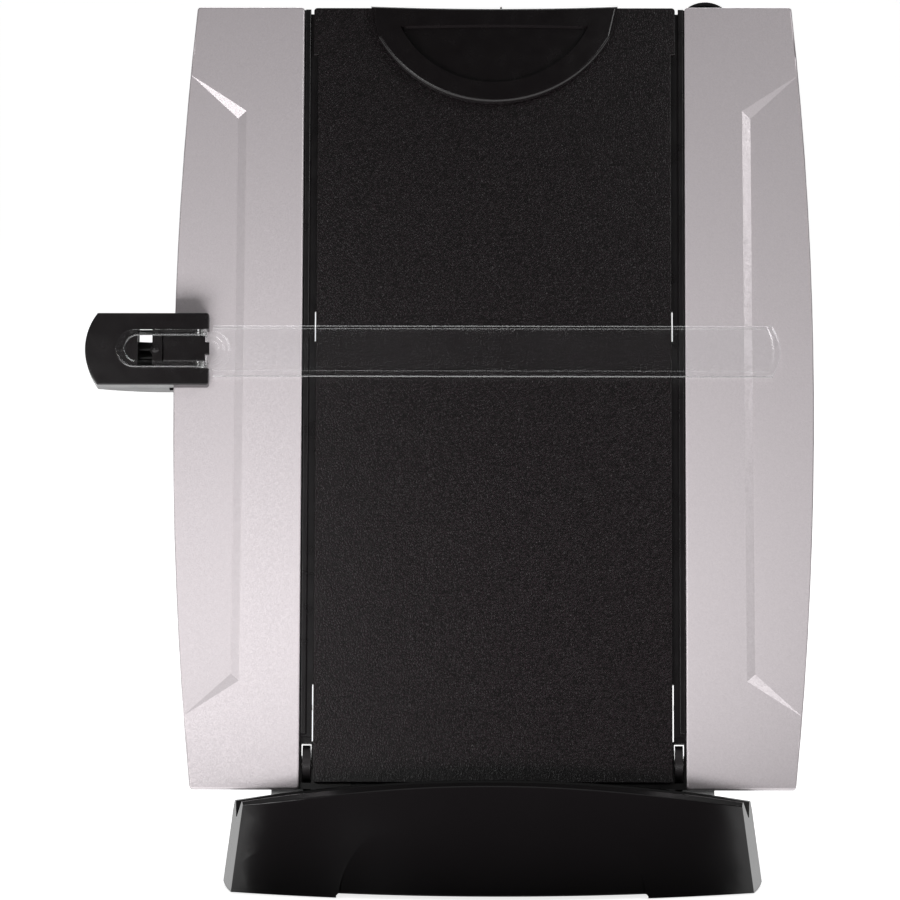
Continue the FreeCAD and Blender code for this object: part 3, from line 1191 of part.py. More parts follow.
# --- Foot ---
def foot_plan(height, face_half, face_middle, face_end, half, rear, inset, recess):
    """Outline of the foot at one height: bowed front, slanted facets, straight sides, round rear."""
    radius = BASE_REAR_ROUND - inset
    half -= inset
    rear -= inset
    face_half -= inset
    face_middle += recess
    face_end += recess
    corner = radius * (1 - math.sqrt(0.5))
    facet = face_end + BASE_FACET

    def place(x, y):
        return V(x, y, height)

    return outline(
        place,
        (-face_half, face_end + inset),
        ((0, face_middle + inset), (face_half, face_end + inset)),
        (half, facet + inset),
        (half, rear - radius),
        ((half - corner, rear - corner), (half - radius, rear)),
        (-half + radius, rear),
        ((-half + corner, rear - corner), (-half, rear - radius)),
        (-half, facet + inset),
    )


def foot_block(inset=0.0, low_recess=0.0, high_recess=0.0):
    """Block that leans in from the desk to the lip; a recess moves its front face back."""
    low = foot_plan(0, BASE_FACE_HALF, BASE_FRONT, BASE_FACE_END, BASE_HALF_WIDTH, BASE_REAR, inset, low_recess)
    high = foot_plan(BASE_TOP, BASE_FACE_TOP_HALF, BASE_FACE_TOP, BASE_FACE_TOP_END, BASE_TOP_HALF_WIDTH,
                     BASE_REAR - BASE_REAR_LEAN, inset, high_recess)
    return Part.makeLoft([low, high], True, True)


def front_recess():
    """Shallow arched recess in the middle of the front face, deepest at the desk and gone at its top."""
    shoulder = RECESS_HALF - RECESS_CORNER
    bend = RECESS_CORNER * math.sqrt(0.5)
    arch = outline(
        facing,
        (-RECESS_HALF, -1),
        (RECESS_HALF, -1),
        ((shoulder + bend, bend), (shoulder, RECESS_CORNER)),
        (-shoulder, RECESS_CORNER),
        ((-shoulder - bend, bend), (-RECESS_HALF, -1)),
    )
    fade = RECESS_DEPTH * (1 - BASE_TOP / RECESS_FADE)
    block = foot_block(0.0, RECESS_DEPTH, fade)
    return slab(arch, BASE_FRONT - 5, BASE_FRONT + RELIEF_DEPTH).cut(block)


def front_relief():
    """Gap under the front edge, where the skirt lifts off the desk between two short slopes."""
    low = box(-RELIEF_HALF, RELIEF_HALF, BASE_FRONT - 5, BASE_FRONT + RELIEF_DEPTH, -1, RELIEF_HEIGHT)
    return bevelled(low, RELIEF_SLOPE, lambda edge: along(edge, V(0, 1, 0)) and edge.BoundBox.ZMin > 0)


def front_view():
    """Foot seen from the front: rounded lower corners under the arched crest."""
    wide = BASE_HALF_WIDTH + 1
    crest = CREST_HEIGHT + LIP_RISE
    drop = ARCH_RADIUS - math.sqrt(ARCH_RADIUS ** 2 - wide ** 2)
    r = BASE_BOTTOM_ROUND
    bend = r * (1 - math.sqrt(0.5))
    half = BASE_HALF_WIDTH
    return outline(
        facing,
        (-half + r, BASE_LIFT),
        (half - r, BASE_LIFT),
        ((half - bend, BASE_LIFT + bend), (half, BASE_LIFT + r)),
        (wide, BASE_LIFT + r + 3),
        (wide, crest - drop),
        ((0, crest), (-wide, crest - drop)),
        (-wide, BASE_LIFT + r + 3),
        (-half, BASE_LIFT + r),
        ((-half + bend, BASE_LIFT + bend), (-half + r, BASE_LIFT)),
    )


def arched(profile):
    """Side profile swept along the crest's arch."""
    axis_z = CREST_HEIGHT - ARCH_RADIUS
    reach = math.degrees(math.asin((BASE_HALF_WIDTH + 5) / ARCH_RADIUS))
    face = Part.Face(profile).rotated(V(0, 0, axis_z), V(0, 1, 0), -reach)
    return face.revolve(V(0, 0, axis_z), V(0, 1, 0), 2 * reach)


def above_arch(y, crest, radius):
    """Outline of the space above an arch, at one depth."""
    wide = BASE_HALF_WIDTH + 5
    end = crest - radius + math.sqrt(radius ** 2 - wide ** 2)

    def place(x, z):
        return V(x, y, z)

    return outline(place, (-wide, crest + 5), (wide, crest + 5), (wide, end), ((0, crest), (-wide, end)))


def lip_slope():
    """Space above the lip's slope, ruled between the crest's arch and the tighter one at its front."""
    crest = CREST_HEIGHT + LIP_RISE
    back = CREST_Y - LIP_FLAT
    return Part.makeLoft([above_arch(back, crest, ARCH_RADIUS + LIP_RISE),
                          above_arch(back - LIP_REACH, crest - LIP_DROP, LIP_FRONT_RADIUS)], True, True)


def ledge_cut():
    """V ledge that the pages stand in, with the ridge's flat top behind it."""
    lip = CREST_HEIGHT + LIP_RISE
    ridge_back = CREST_Y + LEDGE_WIDTH + RIDGE_WIDTH + 1
    groove = outline(
        sideways,
        (CREST_Y, lip),
        (CREST_Y + LEDGE_WIDTH / 2 - LEDGE_FLAT, CREST_HEIGHT - LEDGE_DEPTH),
        (CREST_Y + LEDGE_WIDTH / 2 + LEDGE_FLAT, CREST_HEIGHT - LEDGE_DEPTH),
        (CREST_Y + LEDGE_WIDTH, CREST_HEIGHT),
        (ridge_back, CREST_HEIGHT),
        (ridge_back, lip + 5),
        (CREST_Y, lip + 5),
    )
    return arched(groove).fuse(lip_slope())


def behind_ridge(drop=0.0):
    """Space above the foot's rear deck, behind the ridge."""
    ridge = CREST_Y + LEDGE_WIDTH + RIDGE_WIDTH
    top = CREST_HEIGHT + 10
    shape = outline(
        sideways,
        (ridge, top),
        (ridge, CREST_HEIGHT),
        (ridge + RIDGE_FOOT - drop, DECK_HEIGHT - drop),
        (DECK_LEVEL_END, DECK_HEIGHT - drop),
        (BASE_REAR + 5, DECK_REAR_HEIGHT - 1 - drop),
        (BASE_REAR + 5, top),
    )
    return bar(shape, -BASE_HALF_WIDTH - 5, BASE_HALF_WIDTH + 5)


def foot_hollow():
    """Inside of the foot: low under the lip, then following the rear deck."""
    roof = DECK_HEIGHT + 6
    room = foot_block(BASE_WALL)
    room = room.common(box(-BASE_HALF_WIDTH, BASE_HALF_WIDTH, BASE_FRONT, BASE_REAR, -1, roof))
    return room.cut(behind_ridge(BASE_WALL))


def is_rear_edge(edge):
    """Edge of the rear deck where it meets the foot's round rear corners and back."""
    area = edge.BoundBox
    behind = area.YMin > BASE_REAR - BASE_REAR_ROUND - 3
    return behind and area.ZMin > DECK_REAR_HEIGHT - 3 and area.ZMax < DECK_HEIGHT


def is_face_edge(edge):
    """Upper and side edges of the front face, above the rounded lower corners."""
    area = edge.BoundBox
    ahead = area.YMax < CREST_Y - LIP_FLAT - 0.1
    upper = area.ZMin > CREST_HEIGHT - LIP_DROP - BASE_FACET and area.XLength > BASE_HALF_WIDTH
    side = area.ZMin > BASE_LIFT + 0.1 and area.ZLength > DECK_HEIGHT
    return ahead and (upper or side)


def base_shell():
    """Moulded foot, open underneath, with the V ledge, the front relief and the screw bosses."""
    foot = foot_block().common(slab(front_view(), BASE_FRONT - 5, BASE_REAR + 5))
    foot = foot.cut(behind_ridge()).cut(ledge_cut())
    foot = rounded(foot, REAR_EDGE_ROUND, is_rear_edge)
    outer = rounded(foot, FACE_EDGE_ROUND, is_face_edge).cut(front_recess())
    bosses = [rod_z(BASE_BOSS_RADIUS, PLATE_UP + PLATE_THICKNESS, DECK_HEIGHT, x, y) for x, y in BASE_SCREWS]
    bosses = [boss.common(outer) for boss in bosses]
    foot = outer.cut(foot_hollow()).multiFuse(bosses)
    cuts = [rod_z(SCREW_RADIUS + PRESS_GAP, 0, DECK_REAR_HEIGHT - 1, x, y) for x, y in BASE_SCREWS]
    cuts += [rod_z(SCREW_RADIUS + SCREW_PASS, DECK_HEIGHT - 5, DECK_HEIGHT + 1, x, y)
             for x, y in saddle_screw_places()]
    cuts.append(front_relief())
    return foot.cut(Part.makeCompound(cuts)).removeSplitter()


def base_bottom_plate():
    """Plate that closes the foot, with shallow seats for the rubber pads."""
    plate = foot_block(BASE_WALL + PLATE_GAP).common(
        box(-BASE_HALF_WIDTH, BASE_HALF_WIDTH, BASE_FRONT, BASE_REAR, PLATE_UP, PLATE_UP + PLATE_THICKNESS))
    seat = FOOT_PAD_THICKNESS - PLATE_UP
    cuts = [rod_z(FOOT_PAD_RADIUS + 0.1, PLATE_UP - 1, PLATE_UP + seat, x, y) for x, y in FOOT_PADS]
    cuts += [rod_z(SCREW_RADIUS + SCREW_PASS, 0, BASE_TOP, x, y) for x, y in BASE_SCREWS]
    return plate.cut(Part.makeCompound(cuts))


def rubber_feet():
    pads = []
    for x, y in FOOT_PADS:
        pad = rod_z(FOOT_PAD_RADIUS, 0, FOOT_PAD_THICKNESS, x, y)
        pads.append(pad.makeChamfer(0.4, [edge for edge in pad.Edges if flat_at(edge, "z", 0)]))
    return pads


def upward_screw(x, y, head_low, head_high, tip):
    head = rod_z(SCREW_HEAD_RADIUS, head_low, head_high, x, y)
    head = bevelled(head, HEAD_BEVEL, lambda edge: flat_at(edge, "z", head_low))
    return head.fuse(rod_z(SCREW_RADIUS, head_high, tip, x, y))


def base_screws():
    return [upward_screw(x, y, PLATE_UP - 1.1, PLATE_UP, DECK_REAR_HEIGHT - 2) for x, y in BASE_SCREWS]


# --- Hinge saddle ---
def saddle_screw_places():
    return [(x, y) for y in SADDLE_SCREWS_Y for x in (-SADDLE_SCREW_X, SADDLE_SCREW_X)]


def on_hollow(radius, degrees):
    """Point (y, z) at a radius from the hinge axis; 0 degrees is level behind it."""
    hinge_y, hinge_z = hinge_in_world()
    angle = math.radians(degrees)
    return hinge_y + radius * math.cos(angle), hinge_z + radius * math.sin(angle)


def saddle_profile():
    """Side profile of the saddle: a hollow about the hinge axis between a low front and a high back."""
    start = on_hollow(SADDLE_RADIUS, SADDLE_START)
    end = on_hollow(SADDLE_RADIUS, SADDLE_END)
    back = end[0] + SADDLE_BACK_WIDTH
    return outline(
        sideways,
        (SADDLE_FRONT, DECK_HEIGHT),
        (SADDLE_FRONT, SADDLE_FRONT_HEIGHT),
        start,
        (on_hollow(SADDLE_RADIUS, (SADDLE_START + SADDLE_END) / 2), end),
        (back, end[1]),
        (back + SADDLE_BACK_FOOT, DECK_HEIGHT),
    )


def saddle_core():
    """Profile of the cored cells under the saddle's hollow."""
    radius = SADDLE_RADIUS + SADDLE_WALL
    start = on_hollow(radius, SADDLE_START)
    end = on_hollow(radius, SADDLE_CORE_END)
    back, top = on_hollow(SADDLE_RADIUS, SADDLE_END)
    back += SADDLE_BACK_WIDTH - SADDLE_WALL
    slope = SADDLE_BACK_FOOT / (top - DECK_HEIGHT)
    return outline(
        sideways,
        (SADDLE_FRONT + SADDLE_WALL, DECK_HEIGHT - 1),
        (SADDLE_FRONT + SADDLE_WALL, SADDLE_FRONT_HEIGHT - SADDLE_WALL),
        start,
        (on_hollow(radius, (SADDLE_START + SADDLE_CORE_END) / 2), end),
        (back + slope * (top - end[1]), end[1]),
        (back + slope * (top - DECK_HEIGHT + 1), DECK_HEIGHT - 1),
    )


def ear():
    """Upright ear that carries the hinge pin; it fills the window at the foot of the channel."""
    hinge_y, hinge_z = hinge_in_world()
    left = EAR_X - EAR_THICKNESS / 2
    right = EAR_X + EAR_THICKNESS / 2
    eye = rod_x(EAR_RADIUS, left, right, hinge_y, hinge_z)
    post = bar(outline(
        sideways,
        (hinge_y - EAR_FRONT, hinge_z - 2),
        (hinge_y - EAR_FRONT, DECK_HEIGHT),
        (hinge_y + EAR_RADIUS + 2, DECK_HEIGHT),
        (hinge_y + EAR_RADIUS - 1.2, hinge_z),
    ), left, right)
    return eye.fuse(post)


def hinge_saddle():
    """Moulded block on the foot's deck: hollow cradle, cored cells below and two ears."""
    outer = bar(saddle_profile(), -SADDLE_HALF_WIDTH, SADDLE_HALF_WIDTH)
    core = saddle_core()
    pitch = 2 * SADDLE_HALF_WIDTH / SADDLE_CELLS
    saddle = outer
    for index in range(SADDLE_CELLS):
        left = -SADDLE_HALF_WIDTH + pitch * index + SADDLE_WALL
        saddle = saddle.cut(bar(core, left, left + pitch - 2 * SADDLE_WALL))
    posts = [rod_z(BASE_BOSS_RADIUS, DECK_HEIGHT, BASE_TOP, x, y).common(outer)
             for x, y in saddle_screw_places()]
    saddle = saddle.multiFuse(both_sides(ear()) + posts)
    hinge_y, hinge_z = hinge_in_world()
    eye_bore = rod_x(HINGE_PIN_RADIUS + RUNNING_FIT, EAR_X - EAR_RADIUS, EAR_X + EAR_RADIUS, hinge_y, hinge_z)
    bores = [rod_z(SCREW_RADIUS + PRESS_GAP, DECK_HEIGHT - 1, DECK_HEIGHT + SADDLE_SCREW_BITE + 1, x, y)
             for x, y in saddle_screw_places()]
    return saddle.cut(Part.makeCompound(both_sides(eye_bore) + bores)).removeSplitter()


def saddle_screws():
    under = DECK_HEIGHT - BASE_WALL
    tip = DECK_HEIGHT + SADDLE_SCREW_BITE
    return [upward_screw(x, y, under - SCREW_HEAD_HEIGHT, under, tip) for x, y in saddle_screw_places()]


# --- Write the nodes ---
BOARD_PARTS = {
    "rear_frame": rear_frame,
    "centre_panel": centre_panel,
    "right_wing": wing,
    "left_wing": lambda: mirrored(wing()),
    "wing_screws": wing_screws,
    "hinge_pins": hinge_pins,
    "hinge_spring_washers": hinge_spring_washers,
    "top_clip": top_clip,
    "clip_pad": clip_pad,
    "clip_pin": clip_pin,
    "clip_spring": clip_spring,
    "top_knob": top_knob,
    "knob_spring_washer": knob_spring_washer,
    "knob_spindle": knob_spindle,
    "slider_plate": slider_plate,
    "slider_jaw": slider_jaw,
    "slider_screws": slider_screws,
    "slider_spring": slider_spring,
    "guide_pin": guide_pin,
    "line_guide": line_guide,
    "memo_clip": memo_clip,
}
FOOT_PARTS = {
    "base_shell": base_shell,
    "base_bottom_plate": base_bottom_plate,
    "rubber_feet": rubber_feet,
    "base_screws": base_screws,
    "hinge_saddle": hinge_saddle,
    "saddle_screws": saddle_screws,
}


def as_shape(made):
    return Part.makeCompound(made) if isinstance(made, list) else made


def main():
    os.makedirs("parts", exist_ok=True)
    for name, make in BOARD_PARTS.items():
        board_to_world(as_shape(make())).exportStep(f"parts/{name}.step")
    for name, make in FOOT_PARTS.items():
        as_shape(make()).exportStep(f"parts/{name}.step")


main()
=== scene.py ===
import math

import bpy
from mathutils import Matrix, Vector


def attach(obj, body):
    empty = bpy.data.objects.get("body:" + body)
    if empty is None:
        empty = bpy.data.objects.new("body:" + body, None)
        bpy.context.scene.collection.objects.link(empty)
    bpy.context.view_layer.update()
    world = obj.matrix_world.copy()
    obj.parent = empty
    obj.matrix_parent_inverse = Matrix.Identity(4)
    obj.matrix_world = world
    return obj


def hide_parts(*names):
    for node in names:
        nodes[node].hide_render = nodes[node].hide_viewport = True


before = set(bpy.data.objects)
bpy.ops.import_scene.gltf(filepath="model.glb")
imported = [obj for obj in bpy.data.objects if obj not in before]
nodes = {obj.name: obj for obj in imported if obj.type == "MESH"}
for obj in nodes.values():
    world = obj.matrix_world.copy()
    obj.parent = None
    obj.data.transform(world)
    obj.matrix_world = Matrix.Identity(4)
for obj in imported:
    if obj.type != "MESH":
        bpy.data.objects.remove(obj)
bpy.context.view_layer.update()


# --- Foot shell ---
# The foot is one ABS moulding, open underneath, with the ledge for the pages along its arched top.
# Its tool was polished, so the black is nearly glossy, with the long, faint waves that a thick
# moulding gets as it cools.

def paint(hex_code):
    """sRGB hex to the linear colour that a shader socket takes."""
    def channel(pair):
        value = int(pair, 16) / 255
        return value / 12.92 if value <= 0.04045 else ((value + 0.055) / 1.055) ** 2.4
    return tuple(channel(hex_code[i:i + 2]) for i in (0, 2, 4)) + (1.0,)


def add(tree, kind, inputs=None, **settings):
    """Adds a node with its settings; an input is a value or the socket that feeds it."""
    node = tree.nodes.new(kind)
    for name, value in settings.items():
        setattr(node, name, value)
    for name, value in (inputs or {}).items():
        socket = node.inputs[name]
        if isinstance(value, bpy.types.NodeSocket):
            tree.links.new(value, socket)
        else:
            socket.default_value = value
    return node


def finish(name, base, roughness, **extra):
    """A new surface finish: the material, its tree and its shader."""
    material = bpy.data.materials.new(name)
    material.use_nodes = True
    tree = material.node_tree
    shader = tree.nodes["Principled BSDF"]
    values = {"Base Color": base, "Roughness": roughness}
    values.update({key.replace("_", " "): value for key, value in extra.items()})
    for key, value in values.items():
        shader.inputs[key].default_value = value
    return material, tree, shader


def per_mm(size):
    """Scale of a pattern whose cells are this many millimetres, on coordinates in metres."""
    return 1000.0 / size


def dress(node_name, material):
    """Gives a carried-over solid its finish in every slot."""
    solid = nodes[node_name]
    for slot in solid.material_slots:
        slot.material = material
    if not solid.material_slots:
        solid.data.materials.append(material)


polished_abs, tree, shader = finish("polished black ABS", paint("0b090a"), 0.15, IOR=1.53)
place = add(tree, "ShaderNodeTexCoord")
sink = add(tree, "ShaderNodeTexNoise", {
    "Vector": place.outputs["Object"], "Scale": per_mm(38.0), "Detail": 1.0})
haze = add(tree, "ShaderNodeMapRange", {
    "Value": sink.outputs["Fac"], "From Min": 0.3, "From Max": 0.7, "To Min": 0.13, "To Max": 0.17})
tree.links.new(haze.outputs["Result"], shader.inputs["Roughness"])
skin = add(tree, "ShaderNodeTexNoise", {
    "Vector": place.outputs["Object"], "Scale": per_mm(1.4), "Detail": 2.0})
waves = add(tree, "ShaderNodeBump", {
    "Strength": 1.0, "Distance": 0.00003, "Height": sink.outputs["Fac"]})
peel = add(tree, "ShaderNodeBump", {
    "Strength": 1.0, "Distance": 0.000004, "Height": skin.outputs["Fac"], "Normal": waves.outputs["Normal"]})
tree.links.new(peel.outputs["Normal"], shader.inputs["Normal"])
dress("base_shell", polished_abs)


# --- Bottom plate ---
# A flat plate that closes the foot. The tool was left spark-eroded, which gives a dull, evenly
# pitted black that scatters the light to a dark grey.

eroded_abs, tree, shader = finish("spark-eroded black ABS", paint("242122"), 0.58, IOR=1.53)
place = add(tree, "ShaderNodeTexCoord")
pits = add(tree, "ShaderNodeTexNoise", {
    "Vector": place.outputs["Object"], "Scale": per_mm(0.35), "Detail": 4.0, "Roughness": 0.65})
pit_gloss = add(tree, "ShaderNodeMapRange", {
    "Value": pits.outputs["Fac"], "From Min": 0.3, "From Max": 0.7, "To Min": 0.5, "To Max": 0.66})
tree.links.new(pit_gloss.outputs["Result"], shader.inputs["Roughness"])
pitted = add(tree, "ShaderNodeBump", {
    "Strength": 1.0, "Distance": 0.00003, "Height": pits.outputs["Fac"]})
tree.links.new(pitted.outputs["Normal"], shader.inputs["Normal"])
dress("base_bottom_plate", eroded_abs)


# --- Hinge saddle ---
# The cradle that carries the board is moulded in acetal, which is slippery and wears well under
# the ears. The resin is coloured black and has a waxy, half-matt skin.

black_acetal, tree, shader = finish("black acetal", paint("1b191a"), 0.36, IOR=1.48)
place = add(tree, "ShaderNodeTexCoord")
wax = add(tree, "ShaderNodeTexNoise", {
    "Vector": place.outputs["Object"], "Scale": per_mm(3.0), "Detail": 3.0, "Roughness": 0.55})
wax_gloss = add(tree, "ShaderNodeMapRange", {
    "Value": wax.outputs["Fac"], "From Min": 0.3, "From Max": 0.7, "To Min": 0.31, "To Max": 0.43})
tree.links.new(wax_gloss.outputs["Result"], shader.inputs["Roughness"])
dress("hinge_saddle", black_acetal)


# --- Rubber feet and clip pad ---
# Moulded nitrile rubber, matt, with a bloom of fine dust that lifts the black a little.

rubber, tree, shader = finish("matt black nitrile rubber", paint("1c1b1b"), 0.78, IOR=1.52)
place = add(tree, "ShaderNodeTexCoord")
bloom = add(tree, "ShaderNodeTexNoise", {
    "Vector": place.outputs["Object"], "Scale": per_mm(1.6), "Detail": 5.0, "Roughness": 0.6})
dust = add(tree, "ShaderNodeMix", {
    "Factor": bloom.outputs["Fac"], "A": paint("161515"), "B": paint("2b2a29")}, data_type="RGBA")
tree.links.new(dust.outputs["Result"], shader.inputs["Base Color"])
mould_skin = add(tree, "ShaderNodeTexNoise", {
    "Vector": place.outputs["Object"], "Scale": per_mm(0.25), "Detail": 3.0})
pebbled = add(tree, "ShaderNodeBump", {
    "Strength": 1.0, "Distance": 0.00002, "Height": mould_skin.outputs["Fac"]})
tree.links.new(pebbled.outputs["Normal"], shader.inputs["Normal"])
dress("rubber_feet", rubber)
dress("clip_pad", rubber)


# --- Frame of the board, slider jaw and knob ---
# The black deck behind the skins is moulded in high-impact polystyrene, and so are the jaw and
# the knob. Their flat faces are smooth and take a soft reflection; the ribs share the finish.

smooth_styrene, tree, shader = finish("smooth black polystyrene", paint("0c0a0b"), 0.28, IOR=1.59)
place = add(tree, "ShaderNodeTexCoord")
flow = add(tree, "ShaderNodeTexNoise", {
    "Vector": place.outputs["Object"], "Scale": per_mm(9.0), "Detail": 2.0})
flow_gloss = add(tree, "ShaderNodeMapRange", {
    "Value": flow.outputs["Fac"], "From Min": 0.3, "From Max": 0.7, "To Min": 0.26, "To Max": 0.35})
tree.links.new(flow_gloss.outputs["Result"], shader.inputs["Roughness"])
skin = add(tree, "ShaderNodeTexNoise", {
    "Vector": place.outputs["Object"], "Scale": per_mm(0.6), "Detail": 2.0})
peel = add(tree, "ShaderNodeBump", {
    "Strength": 1.0, "Distance": 0.000004, "Height": skin.outputs["Fac"]})
tree.links.new(peel.outputs["Normal"], shader.inputs["Normal"])
for name in ("rear_frame", "top_knob", "slider_jaw"):
    dress(name, smooth_styrene)


# --- Grained panel ---
# The plate behind the pages is moulded from a leather-grained tool: small pebbles of about a
# millimetre with narrow valleys, which break the reflection into a faint sparkle on near black.

grained_abs, tree, shader = finish("leather-grained black ABS", paint("120d0e"), 0.34, IOR=1.53)
place = add(tree, "ShaderNodeTexCoord")
wander = add(tree, "ShaderNodeTexNoise", {
    "Vector": place.outputs["Object"], "Scale": per_mm(1.4), "Detail": 2.0})
wander_reach = 0.0011      # metres that the noise shifts the pebbles' places by
offset = add(tree, "ShaderNodeVectorMath", {
    0: wander.outputs["Color"], 1: (wander_reach,) * 3}, operation="MULTIPLY")
warped = add(tree, "ShaderNodeVectorMath", {
    0: place.outputs["Object"], 1: offset.outputs["Vector"]}, operation="ADD")
pebbles = add(tree, "ShaderNodeTexVoronoi", {
    "Vector": warped.outputs["Vector"], "Scale": per_mm(1.0)}, feature="DISTANCE_TO_EDGE")
domes = add(tree, "ShaderNodeMapRange", {
    "Value": pebbles.outputs["Distance"], "From Min": 0.0, "From Max": 0.32},
    interpolation_type="SMOOTHSTEP")
# painted shade: the colour darkens to near black in the valleys between the pebbles and is lighter on their
# domes
valley_shade_tint = add(tree, "ShaderNodeMix", {
    "Factor": domes.outputs["Result"], "A": paint("030202"), "B": paint("150e11")}, data_type="RGBA")
tree.links.new(valley_shade_tint.outputs["Result"], shader.inputs["Base Color"])
grain = add(tree, "ShaderNodeBump", {
    "Strength": 1.0, "Distance": 0.00004, "Height": domes.outputs["Result"]})
tree.links.new(grain.outputs["Normal"], shader.inputs["Normal"])
dress("centre_panel", grained_abs)


# --- Silver wings ---
# Thin ABS shells sprayed with a silver metallic lacquer under a satin clear coat. The aluminium
# flakes lie at slightly different angles and twinkle one by one. Real flakes are a few hundredths
# of a millimetre and are drawn at 0.45 mm, so that they still show.

silver_lacquer, tree, shader = finish(
    "silver metallic lacquer", paint("c0b9bc"), 0.32, Metallic=0.4, Coat_Weight=0.25,
    Coat_Roughness=0.15)
place = add(tree, "ShaderNodeTexCoord")
facing_out = add(tree, "ShaderNodeNewGeometry")
flakes = add(tree, "ShaderNodeTexVoronoi", {
    "Vector": place.outputs["Object"], "Scale": per_mm(0.45)})
lean = add(tree, "ShaderNodeVectorMath", {
    0: flakes.outputs["Color"], 1: (0.5, 0.5, 0.5)}, operation="SUBTRACT")
flake_tilt = 0.09
tipped = add(tree, "ShaderNodeVectorMath", {
    0: lean.outputs["Vector"], 1: (flake_tilt,) * 3, 2: facing_out.outputs["Normal"]},
    operation="MULTIPLY_ADD")
flake_facing = add(tree, "ShaderNodeVectorMath", {
    0: tipped.outputs["Vector"]}, operation="NORMALIZE")
tree.links.new(flake_facing.outputs["Vector"], shader.inputs["Normal"])
flake_tone = add(tree, "ShaderNodeSeparateColor", {"Color": flakes.outputs["Color"]})
flake_mix = add(tree, "ShaderNodeMix", {
    "Factor": flake_tone.outputs["Blue"], "A": paint("bbb4b7"), "B": paint("c5bec1")}, data_type="RGBA")
tree.links.new(flake_mix.outputs["Result"], shader.inputs["Base Color"])
dress("left_wing", silver_lacquer)
dress("right_wing", silver_lacquer)


# --- Top paper clip and slider cover ---
# Smaller mouldings in the same black as the foot, with a satin polish that shows as a soft sheen
# on every rounded edge.

satin_abs, tree, shader = finish("satin black ABS", paint("0c090a"), 0.25, IOR=1.53)
place = add(tree, "ShaderNodeTexCoord")
flow = add(tree, "ShaderNodeTexNoise", {
    "Vector": place.outputs["Object"], "Scale": per_mm(6.0), "Detail": 2.0})
flow_gloss = add(tree, "ShaderNodeMapRange", {
    "Value": flow.outputs["Fac"], "From Min": 0.3, "From Max": 0.7, "To Min": 0.22, "To Max": 0.28})
tree.links.new(flow_gloss.outputs["Result"], shader.inputs["Roughness"])
satin = add(tree, "ShaderNodeTexNoise", {
    "Vector": place.outputs["Object"], "Scale": per_mm(0.3), "Detail": 2.0})
eggshell = add(tree, "ShaderNodeBump", {
    "Strength": 1.0, "Distance": 0.000006, "Height": satin.outputs["Fac"]})
tree.links.new(eggshell.outputs["Normal"], shader.inputs["Normal"])
dress("top_clip", satin_abs)
dress("slider_plate", satin_abs)


# --- Steel pins, springs and washers ---
# Drawn steel pins keep fine lines along their length; the springs are hardened and oiled, which
# leaves them a darker, browner grey.

drawn_steel, tree, shader = finish("drawn steel", paint("9d9c9b"), 0.3, Metallic=1.0)
place = add(tree, "ShaderNodeTexCoord")
along = add(tree, "ShaderNodeMapping", {"Vector": place.outputs["Object"], "Scale": (0.05, 1, 1)})
lines = add(tree, "ShaderNodeTexNoise", {
    "Vector": along.outputs["Vector"], "Scale": per_mm(0.12), "Detail": 3.0, "Roughness": 0.6})
line_gloss = add(tree, "ShaderNodeMapRange", {
    "Value": lines.outputs["Fac"], "From Min": 0.3, "From Max": 0.7, "To Min": 0.2, "To Max": 0.42})
tree.links.new(line_gloss.outputs["Result"], shader.inputs["Roughness"])
for name in ("hinge_pins", "clip_pin", "knob_spindle", "guide_pin"):
    dress(name, drawn_steel)

spring_steel, tree, shader = finish("oiled spring steel", paint("6b6764"), 0.36, Metallic=1.0)
place = add(tree, "ShaderNodeTexCoord")
oil = add(tree, "ShaderNodeTexNoise", {
    "Vector": place.outputs["Object"], "Scale": per_mm(1.2), "Detail": 4.0, "Roughness": 0.6})
oil_gloss = add(tree, "ShaderNodeMapRange", {
    "Value": oil.outputs["Fac"], "From Min": 0.3, "From Max": 0.7, "To Min": 0.24, "To Max": 0.5})
tree.links.new(oil_gloss.outputs["Result"], shader.inputs["Roughness"])
for name in ("hinge_spring_washers", "clip_spring", "knob_spring_washer", "slider_spring"):
    dress(name, spring_steel)


# --- Screws ---
# Zinc-plated pan-head screws for plastics, cold-headed with a cross recess. Each one stops at its
# own angle. The plating is bright, with a faint cloudy spangle.

zinc_plate, tree, shader = finish("bright zinc plate", paint("b9bcc0"), 0.28, Metallic=1.0)
place = add(tree, "ShaderNodeTexCoord")
spangle = add(tree, "ShaderNodeTexNoise", {
    "Vector": place.outputs["Object"], "Scale": per_mm(0.8), "Detail": 4.0, "Roughness": 0.6})
plate_gloss = add(tree, "ShaderNodeMapRange", {
    "Value": spangle.outputs["Fac"], "From Min": 0.3, "From Max": 0.7, "To Min": 0.2, "To Max": 0.4})
tree.links.new(plate_gloss.outputs["Result"], shader.inputs["Roughness"])


